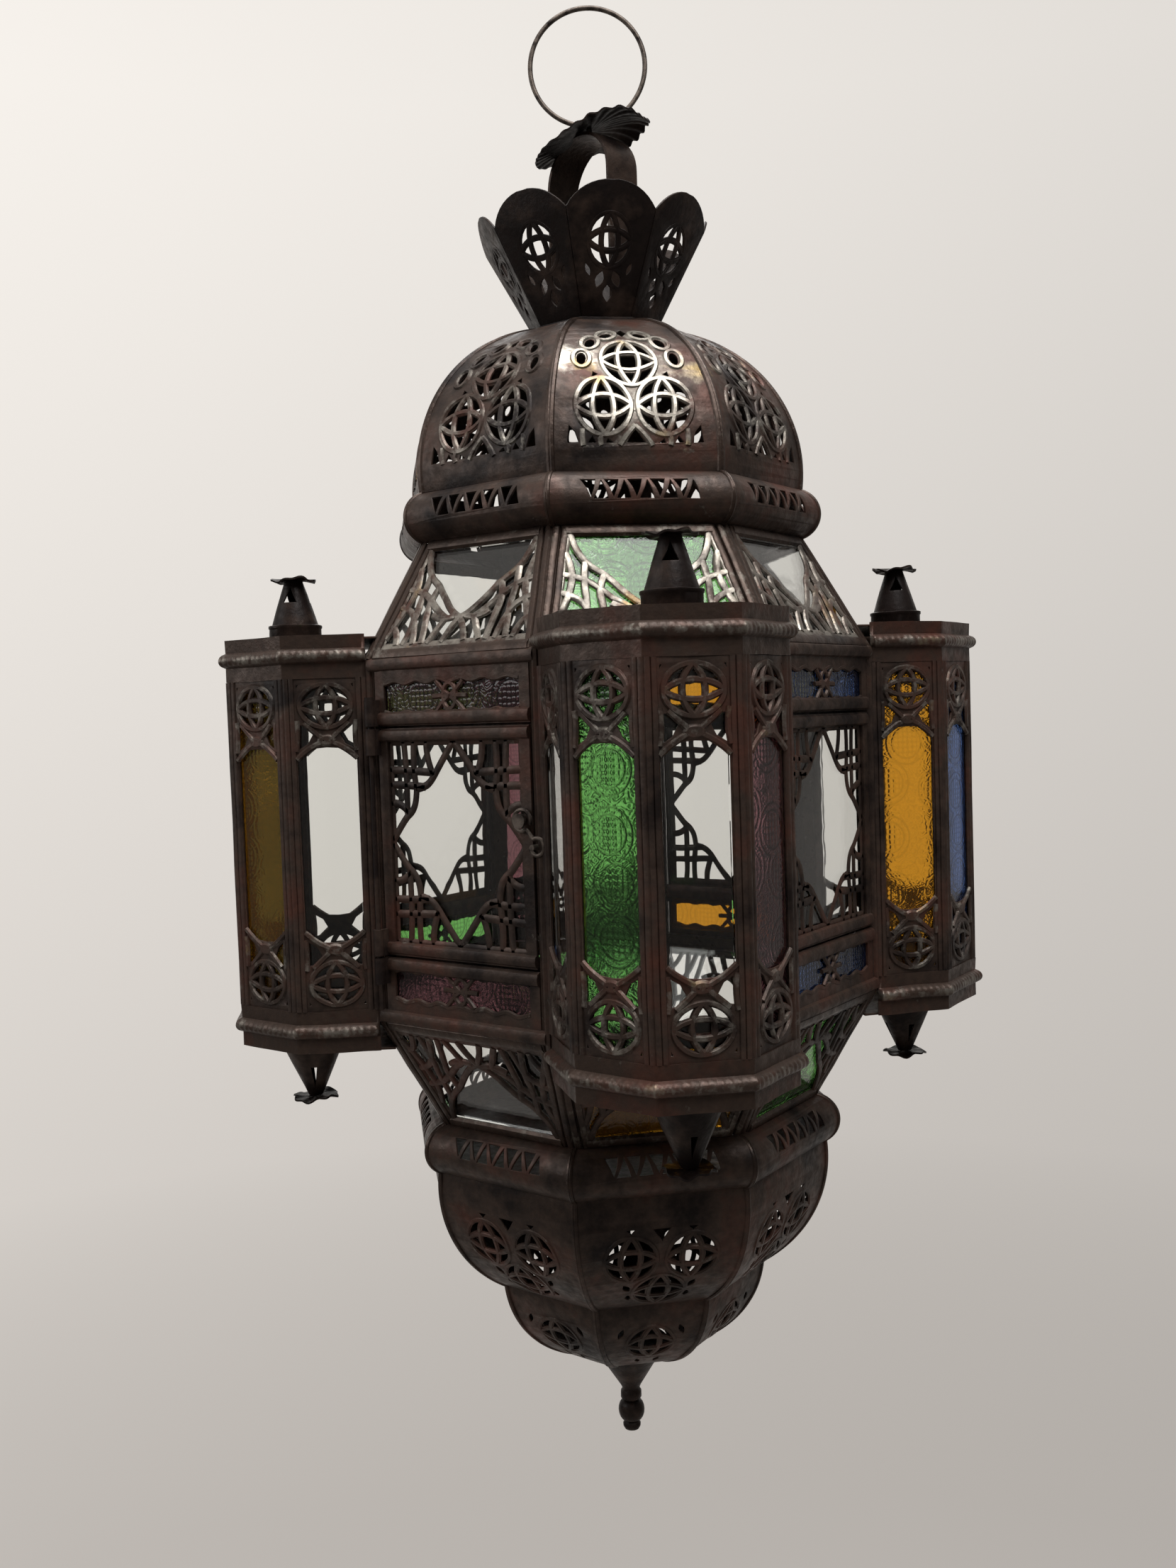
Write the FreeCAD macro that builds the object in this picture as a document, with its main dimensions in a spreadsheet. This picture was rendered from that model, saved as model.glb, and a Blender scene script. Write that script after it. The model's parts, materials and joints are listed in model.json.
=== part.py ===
"""Hanging candle lantern of pierced tin plate and coloured glass.

An octagonal body alternates four star windows with four turrets. Cones, half-round collars, a dome, a
crown and two bowls close it above and below. It hangs from a loose wire ring, and one star window is a
hinged door held by a wire hook. Heights are counted from the tip of the spike and lowered at the end, so
that the origin is the point inside the ring where a hook carries it. The door faces -Y.
"""
import FreeCAD, Part
import math
import os

import Sketcher

# Driving dimensions in millimetres
SIZES = {
    # Sheet, glass and solder seams
    "sheet": 1.0,
    "glass": 2.0,
    "seam": 0.2,
    "trim_allowance": 10.0,
    # Stack of levels from the tip of the spike up to the neck
    "spike_length": 43.0,
    "small_bowl_height": 43.0,
    "bowl_height": 58.0,
    "collar_height": 21.5,
    "cone_height": 49.5,
    "body_height": 153.0,
    "dome_height": 76.0,
    "neck_plate": 1.5,
    # Half widths across the flats of the octagon
    "body_apothem": 111.0,
    "shoulder_apothem": 84.5,
    "bowl_rim_apothem": 88.0,
    "small_bowl_rim_apothem": 60.0,
    "small_bowl_foot_apothem": 18.7,
    "neck_apothem": 27.0,
    # Swell of the curved gores beyond their chords
    "collar_bulge": 7.6,
    "dome_bulge": 19.3,
    "bowl_bulge": 9.2,
    "small_bowl_bulge": 10.3,
    # Crown of petals
    "crown_foot_apothem": 26.0,
    "crown_rim_apothem": 46.5,
    "crown_side_height": 40.0,
    "petal_rise": 11.0,
    # Handle, pleated cap, eye and ring
    "arch_height": 88.0,
    "arch_half_span": 22.0,
    "arch_rise": 20.0,
    "strap_width": 17.0,
    "strap_thickness": 1.5,
    "cap_radius": 26.0,
    "cap_flat_radius": 9.5,
    "cap_droop": 4.0,
    "eye_wire": 2.0,
    "eye_half_span": 5.4,
    "eye_rise": 6.0,
    "eye_arch": 4.9,
    "ring_radius": 26.2,
    "ring_wire": 1.1,
    "play": 0.3,
    # Ribs of the cones, posts and rails of the body
    "rib_width": 9.0,
    "rib_depth": 4.0,
    "post_width": 8.0,
    "post_depth": 7.0,
    "rail_height": 5.0,
    "rail_depth": 6.0,
    "pane_setback": 4.0,
    "filigree_border": 5.0,
    "filigree_arch": 9.0,
    # Star windows, bands and door
    "band_height": 23.0,
    "band_border": 5.0,
    "slit": 1.0,
    "window_border": 5.0,
    "glass_lap": 2.0,
    "star_border": 3.0,
    "star_waist": 9.0,
    "door_gap": 0.8,
    # Hinge of the door
    "hinge_stand_off": 4.2,
    "hinge_inset": 0.4,
    "knuckle_radius": 2.2,
    "knuckle_length": 11.0,
    "hinge_pin_radius": 1.0,
    "running_clearance": 0.05,
    "hinge_tab": 1.4,
    "pin_head_radius": 1.9,
    "pin_head_height": 1.2,
    # Latch of the door
    "latch_stud_inset": 4.0,
    "latch_stud_radius": 1.5,
    "latch_head_radius": 2.9,
    "latch_head_height": 1.2,
    "latch_height": 58.0,
    "latch_drop": 10.0,
    "peg_radius": 1.1,
    "peg_inset": 2.2,
    "peg_length": 4.6,
    "hook_wire": 1.8,
    "hook_mouth": 1.7,
    # Turrets
    "turret_apothem": 42.0,
    "turret_rise": 11.0,
    "turret_drop": 13.0,
    "cornice_height": 18.0,
    "cornice_depth": 2.0,
    "roll_height": 7.0,
    "roll_bulge": 3.2,
    "turret_post_width": 7.0,
    "turret_post_depth": 3.0,
    "medallion_height": 34.5,
    "medallion_arch": 5.5,
    "medallion_centre": 11.5,
    "medallion_hole": 6.5,
    "roof_clearance": 0.5,
    # Finials of the turrets
    "finial_offset": 13.0,
    "drum_radius": 11.5,
    "drum_height": 7.0,
    "cone_foot_radius": 9.8,
    "cone_head_radius": 4.0,
    "cone_length": 20.0,
    "flower_radius": 10.0,
    "flower_thickness": 1.5,
    "knob_radius": 2.6,
    "knob_height": 3.0,
    "drop_cone_radius": 17.0,
    "drop_cone_length": 28.5,
    # Spike
    "spike_rim_radius": 18.0,
    "spike_neck_radius": 4.0,
    "bead_radius": 5.0,
    "ball_neck_radius": 3.0,
    "ball_bulge": 3.3,
    "ball_length": 10.0,
    "tip_radius": 4.2,
    "tip_foot_radius": 3.4,
    "tip_shoulder": 2.7,
    "tip_length": 4.5,
    "bead_length": 5.5,
    "bead_bevel": 1.1,
    # Candle holder
    "tray_thickness": 1.5,
    "cup_bore_radius": 11.5,
    "cup_wall": 1.8,
    "cup_height": 20.0,
    "cup_floor": 3.0,
    "drip_pan_radius": 24.0,
}

# Turns about the vertical axis, in degrees from the door towards +X
HANDLE_TURN = -15
RING_TURN = 35
FACE_TURN = 360 / 8
TURRET_NAMES = ("front_right", "back_right", "back_left", "front_left")
TURRETS = {name: FACE_TURN * (2 * index + 1) for index, name in enumerate(TURRET_NAMES)}

# Colour of each turret's panes, from its left side face to its right side face
TURRET_GLASS = {
    "front_right": ("clear", "green", "clear", "purple", "amber"),
    "back_right": ("amber", "blue", "clear", "clear", "clear"),
    "back_left": ("green", "clear", "clear", "purple", "blue"),
    "front_left": ("clear", "blue", "blue", "amber", "clear"),
}
BAND_GLASS = ("purple", "blue", "amber", "green")

doc = FreeCAD.newDocument("candle_lantern")
sheet = doc.addObject("Spreadsheet::Sheet", "Sizes")
for row, (alias, number) in enumerate(SIZES.items(), start=1):
    sheet.set(f"A{row}", alias)
    sheet.set(f"B{row}", str(number))
    sheet.setAlias(f"B{row}", alias)
doc.recompute()

Vector = FreeCAD.Vector
UP = Vector(0, 0, 1)
NODES = []


def size(alias):
    """Name a cell of the sheet inside an expression."""
    return f"Sizes.{alias}"


def value(expression):
    """Work out an expression on the sheet as a plain number."""
    return float(sheet.evalExpression(expression))


def total(*terms):
    """Add expressions."""
    return "(" + " + ".join(terms) + ")"


# Expressions that several pieces share
HALF = "tan(22.5)"
MITRE = "cos(22.5)"
SHEET = size("sheet")
SEAM = size("seam")
SPIKE_TOP = size("spike_length")
SMALL_BOWL_TOP = total(SPIKE_TOP, size("small_bowl_height"))
BOWL_TOP = total(SMALL_BOWL_TOP, size("bowl_height"))
LOWER_COLLAR_TOP = total(BOWL_TOP, size("collar_height"))
BODY_FOOT = total(LOWER_COLLAR_TOP, size("cone_height"))
BODY_TOP = total(BODY_FOOT, size("body_height"))
UPPER_CONE_TOP = total(BODY_TOP, size("cone_height"))
UPPER_COLLAR_TOP = total(UPPER_CONE_TOP, size("collar_height"))
DOME_TOP = total(UPPER_COLLAR_TOP, size("dome_height"))
NECK_TOP = total(DOME_TOP, size("neck_plate"))
STRAP_TOP = total(NECK_TOP, size("arch_height"))
CAP_TOP = total(STRAP_TOP, SEAM, SHEET)
RING_FOOT = f"({CAP_TOP} + Sizes.eye_rise - Sizes.play - Sizes.ring_wire)"
HANG_HEIGHT = f"({RING_FOOT} + 2 * Sizes.ring_radius - Sizes.ring_wire)"
BODY = size("body_apothem")
SHOULDER = size("shoulder_apothem")
CONE_LEAN = f"atan(({BODY} - {SHOULDER}) / Sizes.cone_height)"
CONE_SLOPE = f"(({BODY} - {SHOULDER}) / Sizes.cone_height)"
CONE_SLANT = f"sqrt(({BODY} - {SHOULDER})^2 + Sizes.cone_height^2)"
DOOR_FOOT = total(BODY_FOOT, size("rail_height"), size("band_height"), size("slit"))
DOOR_HEIGHT = "(Sizes.body_height - 2 * (Sizes.rail_height + Sizes.band_height + Sizes.slit))"
FACE_WIDTH = f"(2 * (({BODY} - {SHEET}) * {HALF} - (Sizes.post_width / 2 + {SEAM}) / {MITRE}))"
DOOR_WIDTH = f"({FACE_WIDTH} - 2 * Sizes.door_gap)"
TURRET = size("turret_apothem")
TURRET_AXIS = f"({BODY} + {TURRET} * {HALF})"
TURRET_TOP = total(BODY_TOP, size("turret_rise"))
TURRET_FOOT = f"({BODY_FOOT} - Sizes.turret_drop)"
TURRET_SILL = total(TURRET_FOOT, size("cornice_height"))
TURRET_OPENING = "(Sizes.body_height + Sizes.turret_rise + Sizes.turret_drop - 2 * Sizes.cornice_height)"
PANE_BACK = f"({TURRET} - {SHEET} - {SEAM} - Sizes.glass)"
PANE_WIDTH = f"(2 * ({PANE_BACK} * {HALF} - (Sizes.turret_post_width / 2 + {SEAM}) / {MITRE}))"
HINGE_X = f"(-{DOOR_WIDTH} / 2 - Sizes.hinge_inset)"
HINGE_Y = f"(-{BODY} - Sizes.hinge_stand_off)"


def new_body(label):
    """Start a body that may hold several separate solids."""
    body = doc.addObject("PartDesign::Body", label)
    body.AllowCompound = True
    return body


def origin_feature(body, role):
    """Find a plane or axis of a body's origin."""
    return next(feature for feature in body.Origin.OriginFeatures if feature.Role == role)


def new_sketch(body, plane, offset=("0", "0", "0"), lean=None, lean_axis=1):
    """Attach a sketch to an origin plane, shifted by expressions and leaning about its own X."""
    sketch = body.newObject("Sketcher::SketchObject", body.Name + "_sketch")
    sketch.AttachmentSupport = [(origin_feature(body, plane), "")]
    sketch.MapMode = "FlatFace"
    if lean:
        start = FreeCAD.Rotation(Vector(lean_axis, 0, 0), value(lean))
        sketch.AttachmentOffset = FreeCAD.Placement(Vector(), start)
        sketch.setExpression("AttachmentOffset.Rotation.Angle", lean)
    for axis, expression in zip("xyz", offset):
        if expression != "0":
            sketch.setExpression(f"AttachmentOffset.Base.{axis}", expression)
    return sketch


def bind(sketch, constraint, expression):
    """Add a constraint that follows an expression."""
    index = sketch.addConstraint(constraint)
    sketch.setExpression(f"Constraints[{index}]", expression)


def pin(sketch, edge, end, x, y):
    """Fix one end of an edge at a pair of expressions."""
    for kind, expression, axis in (("DistanceX", x, -2), ("DistanceY", y, -1)):
        if expression == "0":
            sketch.addConstraint(Sketcher.Constraint("PointOnObject", edge, end, axis))
        else:
            bind(sketch, Sketcher.Constraint(kind, -1, 1, edge, end, value(expression)), expression)


def arc_between(start, end, rise):
    """Make the arc from start to end that swells by rise to the right of the way there."""
    chord = end - start
    half = chord.Length / 2
    radius = (half ** 2 + rise ** 2) / (2 * abs(rise))
    side = Vector(chord.y, -chord.x, 0).normalize() * math.copysign(1, rise)
    centre = (start + end) / 2 + side * (abs(rise) - radius)
    first, last = (start, end) if rise > 0 else (end, start)
    angles = [math.atan2(point.y - centre.y, point.x - centre.x) for point in (first, last)]
    return Part.ArcOfCircle(Part.Circle(centre, UP, radius), angles[0], angles[1])


def outline(sketch, corners):
    """Draw a closed outline, counterclockwise, through corners of expressions.

    A corner is (x, y) or (x, y, rise): with a rise, an arc leads to the next corner and swells by that
    much to the right, or to the left where the rise is negative.
    """
    first = sketch.GeometryCount
    count = len(corners)
    points = [Vector(value(corner[0]), value(corner[1]), 0) for corner in corners]
    ends = []
    for index, corner in enumerate(corners):
        start, end = points[index], points[(index + 1) % count]
        if len(corner) == 2:
            sketch.addGeometry(Part.LineSegment(start, end), False)
            ends.append((1, 2))
        else:
            rise = value(corner[2])
            sketch.addGeometry(arc_between(start, end, rise), False)
            ends.append((1, 2) if rise > 0 else (2, 1))
    for index in range(count):
        following = (index + 1) % count
        joint = (first + index, ends[index][1], first + following, ends[following][0])
        sketch.addConstraint(Sketcher.Constraint("Coincident", *joint))
    for index, corner in enumerate(corners):
        pin(sketch, first + index, ends[index][0], corner[0], corner[1])
        if len(corner) == 3:
            far = corners[(index + 1) % count]
            chord = f"((({far[0]}) - ({corner[0]}))^2 + (({far[1]}) - ({corner[1]}))^2)"
            radius = f"({chord} / 4 + ({corner[2]})^2) / (2 * abs({corner[2]}))"
            bind(sketch, Sketcher.Constraint("Radius", first + index, value(radius)), radius)


def round_hole(sketch, x, y, radius):
    """Draw a circle at a pair of expressions."""
    edge = sketch.GeometryCount
    sketch.addGeometry(Part.Circle(Vector(value(x), value(y), 0), UP, value(radius)), False)
    pin(sketch, edge, 3, x, y)
    bind(sketch, Sketcher.Constraint("Radius", edge, value(radius)), radius)


def rectangle(x, y, width, height):
    """List the corners of a rectangle from its lower left corner."""
    right, top = total(x, width), total(y, height)
    return [(x, y), (right, y), (right, top), (x, top)]


def pad(body, sketch, length, side="One side", inward=False):
    """Raise a sketch into a plate or a bar."""
    feature = body.newObject("PartDesign::Pad", body.Name + "_pad")
    feature.Profile = sketch
    feature.SideType = side
    feature.Reversed = inward
    feature.setExpression("Length", length)
    doc.recompute()
    return feature


def cut_through(body, sketch):
    """Cut a sketch right through a body, and make sure that something was cut away."""
    before = body.Shape.Volume
    pocket = body.newObject("PartDesign::Pocket", body.Name + "_cut")
    pocket.Profile = sketch
    pocket.Type = "ThroughAll"
    pocket.SideType = "Symmetric"
    doc.recompute()
    if pocket.Shape.Volume >= before:
        raise RuntimeError(f"{body.Name}: the cut removed nothing")
    return pocket


def turn_profile(body, sketch):
    """Turn a half profile about the sketch's vertical axis."""
    feature = body.newObject("PartDesign::Revolution", body.Name + "_turned")
    feature.Profile = sketch
    feature.ReferenceAxis = (sketch, ["V_Axis"])
    feature.Angle = 360
    doc.recompute()


def polar(body, count, angle=360):
    """Repeat all that the body holds about its vertical axis."""
    pattern = body.newObject("PartDesign::PolarPattern", body.Name + "_pattern")
    pattern.TransformMode = "Whole shape"
    pattern.Axis = (origin_feature(body, "Z_Axis"), [""])
    pattern.Angle = angle
    pattern.Occurrences = count
    body.Tip = pattern
    doc.recompute()


def mitre(body, reach, setback):
    """Trim a section along +X to its eighth of the octagon, clear of both mitre planes by setback."""
    near = f"({setback} / sin(22.5))"
    far = total(reach, size("trim_allowance"))
    far_edge = f"({far} * {HALF} - {setback} / {MITRE})"
    sketch = new_sketch(body, "XY_Plane")
    outline(sketch, [(near, "0"), (far, far_edge), (far, far), (near, far)])
    pocket = cut_through(body, sketch)
    mirror = body.newObject("PartDesign::Mirrored", body.Name + "_mirror")
    mirror.Originals = [pocket]
    mirror.MirrorPlane = (origin_feature(body, "XZ_Plane"), [""])
    body.Tip = mirror
    doc.recompute()


def place(piece, turn, x="0", y="0", z="0"):
    """Turn a piece about the vertical axis and lower it under the hang point."""
    piece.Placement = FreeCAD.Placement(Vector(), FreeCAD.Rotation(UP, turn))
    for axis, expression in (("x", x), ("y", y), ("z", f"{z} - {HANG_HEIGHT}")):
        if expression != "0":
            piece.setExpression(f"Placement.Base.{axis}", expression)


def keep(piece):
    """List a finished piece as a node of the part."""
    NODES.append(piece)
    return piece


def group(label, pieces):
    """Gather separate pieces into one node."""
    compound = doc.addObject("Part::Compound", label)
    compound.Links = pieces
    return keep(compound)


def octagon_ring(label, foot, corners, reach, turn=-90, count=8, angle=360):
    """Make an octagonal ring of mitred sections from a profile of (radius, height) corners."""
    body = new_body(label)
    sketch = new_sketch(body, "XZ_Plane", ("0", foot, "0"))
    outline(sketch, corners)
    pad(body, sketch, f"2 * ({reach} + Sizes.trim_allowance) * {HALF}", "Symmetric")
    mitre(body, reach, f"({SEAM} / 2)")
    polar(body, count, angle)
    place(body, turn)
    return body


def corner_bars(label, foot, corners, width, turn, count=8, angle=360):
    """Make bars that stand on the corners of an octagon from a profile of (radius, height) corners."""
    body = new_body(label)
    sketch = new_sketch(body, "XZ_Plane", ("0", foot, "0"))
    outline(sketch, corners)
    pad(body, sketch, width, "Symmetric")
    polar(body, count, angle)
    place(body, turn)
    return body


def curved_band(foot, head, height, bulge, level_head=True):
    """List the profile of a curved sheet between two radii."""
    inner_head = (f"({head} - {SHEET})", height) if level_head else (head, f"({height} - {SHEET})")
    return [
        (foot, "0", bulge),
        (head, height),
        (inner_head[0], inner_head[1], f"(-{bulge})"),
        (f"({foot} - {SHEET})", "0"),
    ]


def arch_outline(half_span, height, rise, wall):
    """List the outline of an arch of strip that stands on two straight legs."""
    spring = f"({height} - {rise})"
    right = f"(2 * {half_span})"
    inner_right = f"({right} - {wall})"
    return [
        ("0", "0"),
        (wall, "0"),
        (wall, spring, f"(-({rise} - {wall}))"),
        (inner_right, spring),
        (inner_right, "0"),
        (right, "0"),
        (right, spring, rise),
        ("0", spring),
    ]


def strip_arch(label, half_span, foot, height, rise, wall, width, turn):
    """Make an arch of strip that stands on the vertical axis."""
    body = new_body(label)
    sketch = new_sketch(body, "XZ_Plane", (f"-{half_span}", foot, "0"))
    outline(sketch, arch_outline(half_span, height, rise, wall))
    pad(body, sketch, width, "Symmetric")
    place(body, turn)
    return keep(body)


def turned_piece(label, foot, corners, radius="0", count=1, turn=0):
    """Make a piece turned about a vertical axis that stands at a radius from the lantern's own."""
    body = new_body(label)
    sketch = new_sketch(body, "XZ_Plane", (radius, foot, "0"))
    outline(sketch, corners)
    turn_profile(body, sketch)
    if count > 1:
        polar(body, count)
    place(body, turn)
    return keep(body)


# Ring, eye, pleated cap and handle
def hanging_ring():
    """A loose wire ring whose inside top is the hang point."""
    ring = doc.addObject("Part::Torus", "hanging_ring")
    ring.setExpression("Radius1", size("ring_radius"))
    ring.setExpression("Radius2", size("ring_wire"))
    upright = FreeCAD.Rotation(Vector(1, 0, 0), 90)
    ring.Placement = FreeCAD.Placement(Vector(), FreeCAD.Rotation(UP, RING_TURN) * upright)
    ring.setExpression("Placement.Base.z", "-(Sizes.ring_radius - Sizes.ring_wire)")
    keep(ring)


def handle_pieces():
    """The strap arch, the pleated cap on it and the eye that holds the ring."""
    strip_arch("handle_arch", size("arch_half_span"), NECK_TOP, size("arch_height"), size("arch_rise"),
               size("strap_thickness"), size("strap_width"), HANDLE_TURN)
    flat, droop, rim = size("cap_flat_radius"), size("cap_droop"), size("cap_radius")
    turned_piece("pleated_cap", f"({STRAP_TOP} + {SEAM} - {droop})", [
        ("0", droop),
        (flat, droop),
        (rim, "0"),
        (rim, SHEET),
        (flat, total(droop, SHEET)),
        ("0", total(droop, SHEET)),
    ])
    strip_arch("hanging_eye", size("eye_half_span"), CAP_TOP, total(size("eye_rise"), size("eye_wire")),
               size("eye_arch"), size("eye_wire"), size("eye_wire"), RING_TURN - 90)


# Crown and dome
def crown_pieces():
    """The octagonal neck plate and the eight petals that flare from it."""
    plate = doc.addObject("Part::Prism", "neck_plate")
    plate.Polygon = 8
    plate.setExpression("Circumradius", f"(Sizes.neck_apothem + {SHEET}) / {MITRE}")
    plate.setExpression("Height", size("neck_plate"))
    place(plate, 22.5, z=DOME_TOP)
    keep(plate)
    foot, rim, side = size("crown_foot_apothem"), size("crown_rim_apothem"), size("crown_side_height")
    flare = f"atan(({rim} - {foot}) / {side})"
    slant = f"sqrt(({rim} - {foot})^2 + {side}^2)"
    foot_width = f"(2 * {foot} * {HALF} - {SEAM})"
    rim_width = f"(2 * {rim} * {HALF} - {SEAM})"
    petals = new_body("crown_petals")
    base = f"({NECK_TOP} + {SHEET} * sin({flare}))"
    sketch = new_sketch(petals, "XZ_Plane", (f"-{rim_width} / 2", base, foot), flare)
    outline(sketch, [
        (f"(({rim_width} - {foot_width}) / 2)", "0"),
        (f"(({rim_width} + {foot_width}) / 2)", "0"),
        (rim_width, slant, size("petal_rise")),
        ("0", slant),
    ])
    pad(petals, sketch, SHEET)
    polar(petals, 8)
    place(petals, 0)
    keep(petals)


def gore_pieces():
    """Dome, collars and bowls, each of eight curved gores."""
    neck, rim = size("neck_apothem"), size("bowl_rim_apothem")
    small_rim, small_foot = size("small_bowl_rim_apothem"), size("small_bowl_foot_apothem")
    collar, collar_bulge = size("collar_height"), size("collar_bulge")
    dome = curved_band(SHOULDER, neck, size("dome_height"), size("dome_bulge"), level_head=False)
    keep(octagon_ring("dome_gores", UPPER_COLLAR_TOP, dome, SHOULDER))
    upper = curved_band(SHOULDER, SHOULDER, collar, collar_bulge)
    keep(octagon_ring("upper_collar", UPPER_CONE_TOP, upper, SHOULDER))
    lower = curved_band(rim, SHOULDER, collar, collar_bulge)
    keep(octagon_ring("lower_collar", BOWL_TOP, lower, rim))
    bowl = curved_band(small_rim, rim, size("bowl_height"), size("bowl_bulge"))
    keep(octagon_ring("bowl_gores", SMALL_BOWL_TOP, bowl, rim))
    small = curved_band(small_foot, small_rim, size("small_bowl_height"), size("small_bowl_bulge"))
    keep(octagon_ring("small_bowl_gores", SPIKE_TOP, small, small_rim))


def spike():
    """The turned spike that ends the lantern below."""
    neck, ball_neck, bead = size("spike_neck_radius"), size("ball_neck_radius"), size("bead_radius")
    ball_foot = size("tip_length")
    ball_top = total(ball_foot, size("ball_length"))
    bead_top = total(ball_top, size("bead_length"))
    turned_piece("spike_finial", "0", [
        ("0", "0"),
        (size("tip_foot_radius"), "0"),
        (size("tip_radius"), size("tip_shoulder")),
        (ball_neck, ball_foot, size("ball_bulge")),
        (ball_neck, ball_top),
        (bead, total(ball_top, size("bead_bevel"))),
        (bead, f"({bead_top} - Sizes.bead_bevel)"),
        (neck, bead_top),
        (size("spike_rim_radius"), f"({SPIKE_TOP} - {SHEET})"),
        (size("small_bowl_foot_apothem"), f"({SPIKE_TOP} - {SHEET})"),
        (size("small_bowl_foot_apothem"), SPIKE_TOP),
        ("0", SPIKE_TOP),
    ])


# Cones
CONE_RIB_RADII = [f"(({edge}) / {MITRE} - Sizes.rib_width / 2 * {HALF})" for edge in (BODY, SHOULDER)]
PANE_INSET = total(SHEET, SEAM)
CONE_PANE_BACK = f"({PANE_INSET} + Sizes.glass)"


def cone_width(apothem):
    """Width of a pane between the ribs where the cone's outer face has an apothem."""
    back = f"({apothem} - {CONE_PANE_BACK} / cos({CONE_LEAN}))"
    return f"(2 * ({back} * {HALF} - (Sizes.rib_width / 2 + {SEAM}) / {MITRE}))"


def cone_plate(label, upper, depth, thickness, count, turn, angle=360, arch=False):
    """Make the plates of one layer of a cone, a depth below its outer face."""
    near = f"Sizes.pane_setback / {CONE_SLANT} * ({BODY} - {SHOULDER})"
    wide, narrow = cone_width(f"({BODY} - {near})"), cone_width(f"({SHOULDER} + {near})")
    slant = f"({CONE_SLANT} - 2 * Sizes.pane_setback)"
    sink = f"({depth} * sin({CONE_LEAN}))"
    inset = f"({depth} * cos({CONE_LEAN}))"
    rise = f"(Sizes.pane_setback * cos({CONE_LEAN}))"
    if upper:
        foot, radius = f"({BODY_TOP} + {rise} - {sink})", f"({BODY} - {near} - {inset})"
        foot_width, head_width, lean_axis = wide, narrow, -1
    else:
        foot, radius = f"({LOWER_COLLAR_TOP} + {rise} + {sink})", f"({SHOULDER} + {near} - {inset})"
        foot_width, head_width, lean_axis = narrow, wide, 1
    body = new_body(label)
    sketch = new_sketch(body, "XZ_Plane", (f"-{wide} / 2", foot, radius), CONE_LEAN, lean_axis)

    def frame(border, peak):
        """List a tapered outline inside a border, with a raised or lowered point on the wide side."""
        feet = [f"(({wide} - {foot_width}) / 2 + {border})", f"(({wide} + {foot_width}) / 2 - {border})"]
        heads = [f"(({wide} + {head_width}) / 2 - {border})", f"(({wide} - {head_width}) / 2 + {border})"]
        corners = [(feet[0], border), (feet[1], border), (heads[0], f"({slant} - {border})"),
                   (heads[1], f"({slant} - {border})")]
        if peak != "0":
            corners[2] = (heads[0], f"({slant} - {border} - {peak})")
            corners[3] = (heads[1], f"({slant} - {border} - {peak})")
            corners.insert(3, (f"({wide} / 2)", f"({slant} - {border})"))
        return corners

    outline(sketch, frame("0", "0"))
    if arch:
        outline(sketch, frame(size("filigree_border"), size("filigree_arch")))
    pad(body, sketch, thickness, inward=True)
    polar(body, count, angle)
    place(body, turn)
    return keep(body)


def cone_ribs(label, foot, foot_radius, head_radius):
    """Make the eight folded ribs that hold the panes of a cone."""
    depth = size("rib_depth")
    ribs = corner_bars(label, foot, [
        (f"({foot_radius} - {depth})", "0"),
        (foot_radius, "0"),
        (head_radius, size("cone_height")),
        (f"({head_radius} - {depth})", size("cone_height")),
    ], size("rib_width"), -67.5)
    keep(ribs)


def cone_pieces():
    """Ribs, panes and filigree plates of both cones."""
    wide, narrow = CONE_RIB_RADII
    glass = size("glass")
    cone_ribs("upper_cone_ribs", BODY_TOP, wide, narrow)
    cone_plate("upper_cone_clear_panes", True, PANE_INSET, glass, 7, 90, 270)
    cone_plate("upper_cone_green_panes", True, PANE_INSET, glass, 1, 45)
    cone_plate("upper_cone_filigree", True, "0", SHEET, 8, 0, arch=True)
    cone_ribs("lower_cone_ribs", LOWER_COLLAR_TOP, narrow, wide)
    cone_plate("lower_cone_clear_panes", False, PANE_INSET, glass, 6, 135, 225)
    cone_plate("lower_cone_green_panes", False, PANE_INSET, glass, 1, 90)
    cone_plate("lower_cone_amber_panes", False, PANE_INSET, glass, 1, 45)
    cone_plate("lower_cone_filigree", False, "0", SHEET, 8, 0, arch=True)


# Body
def body_frame():
    """Rails round the top and bottom of the body and posts on its corners."""
    outer = f"({BODY} - {SEAM})"
    inner = f"({BODY} - Sizes.rail_depth)"
    rail = size("rail_height")
    section = [(inner, "0"), (outer, "0"), (outer, rail), (inner, rail)]
    keep(octagon_ring("body_top_rail", f"({BODY_TOP} - {rail})", section, BODY))
    keep(octagon_ring("body_bottom_rail", BODY_FOOT, section, BODY))
    post_face = f"({BODY} / {MITRE} - Sizes.post_width / 2 * {HALF})"
    post_back = f"({post_face} - Sizes.post_depth)"
    height = f"(Sizes.body_height - 2 * {rail})"
    post = [(post_back, "0"), (post_face, "0"), (post_face, height), (post_back, height)]
    keep(corner_bars("body_posts", total(BODY_FOOT, rail), post, size("post_width"), -67.5))


def face_plate(label, width, foot, shapes, depth, thickness, turn, count=1, angle=360):
    """Make upright plates behind the body's flat faces from outlines drawn from their lower left."""
    body = new_body(label)
    sketch = new_sketch(body, "XZ_Plane", (f"-{width} / 2", foot, f"({BODY} - {depth})"))
    for shape in shapes:
        outline(sketch, shape)
    pad(body, sketch, thickness, inward=True)
    if count > 1:
        polar(body, count, angle)
    place(body, turn)
    return keep(body)


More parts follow.
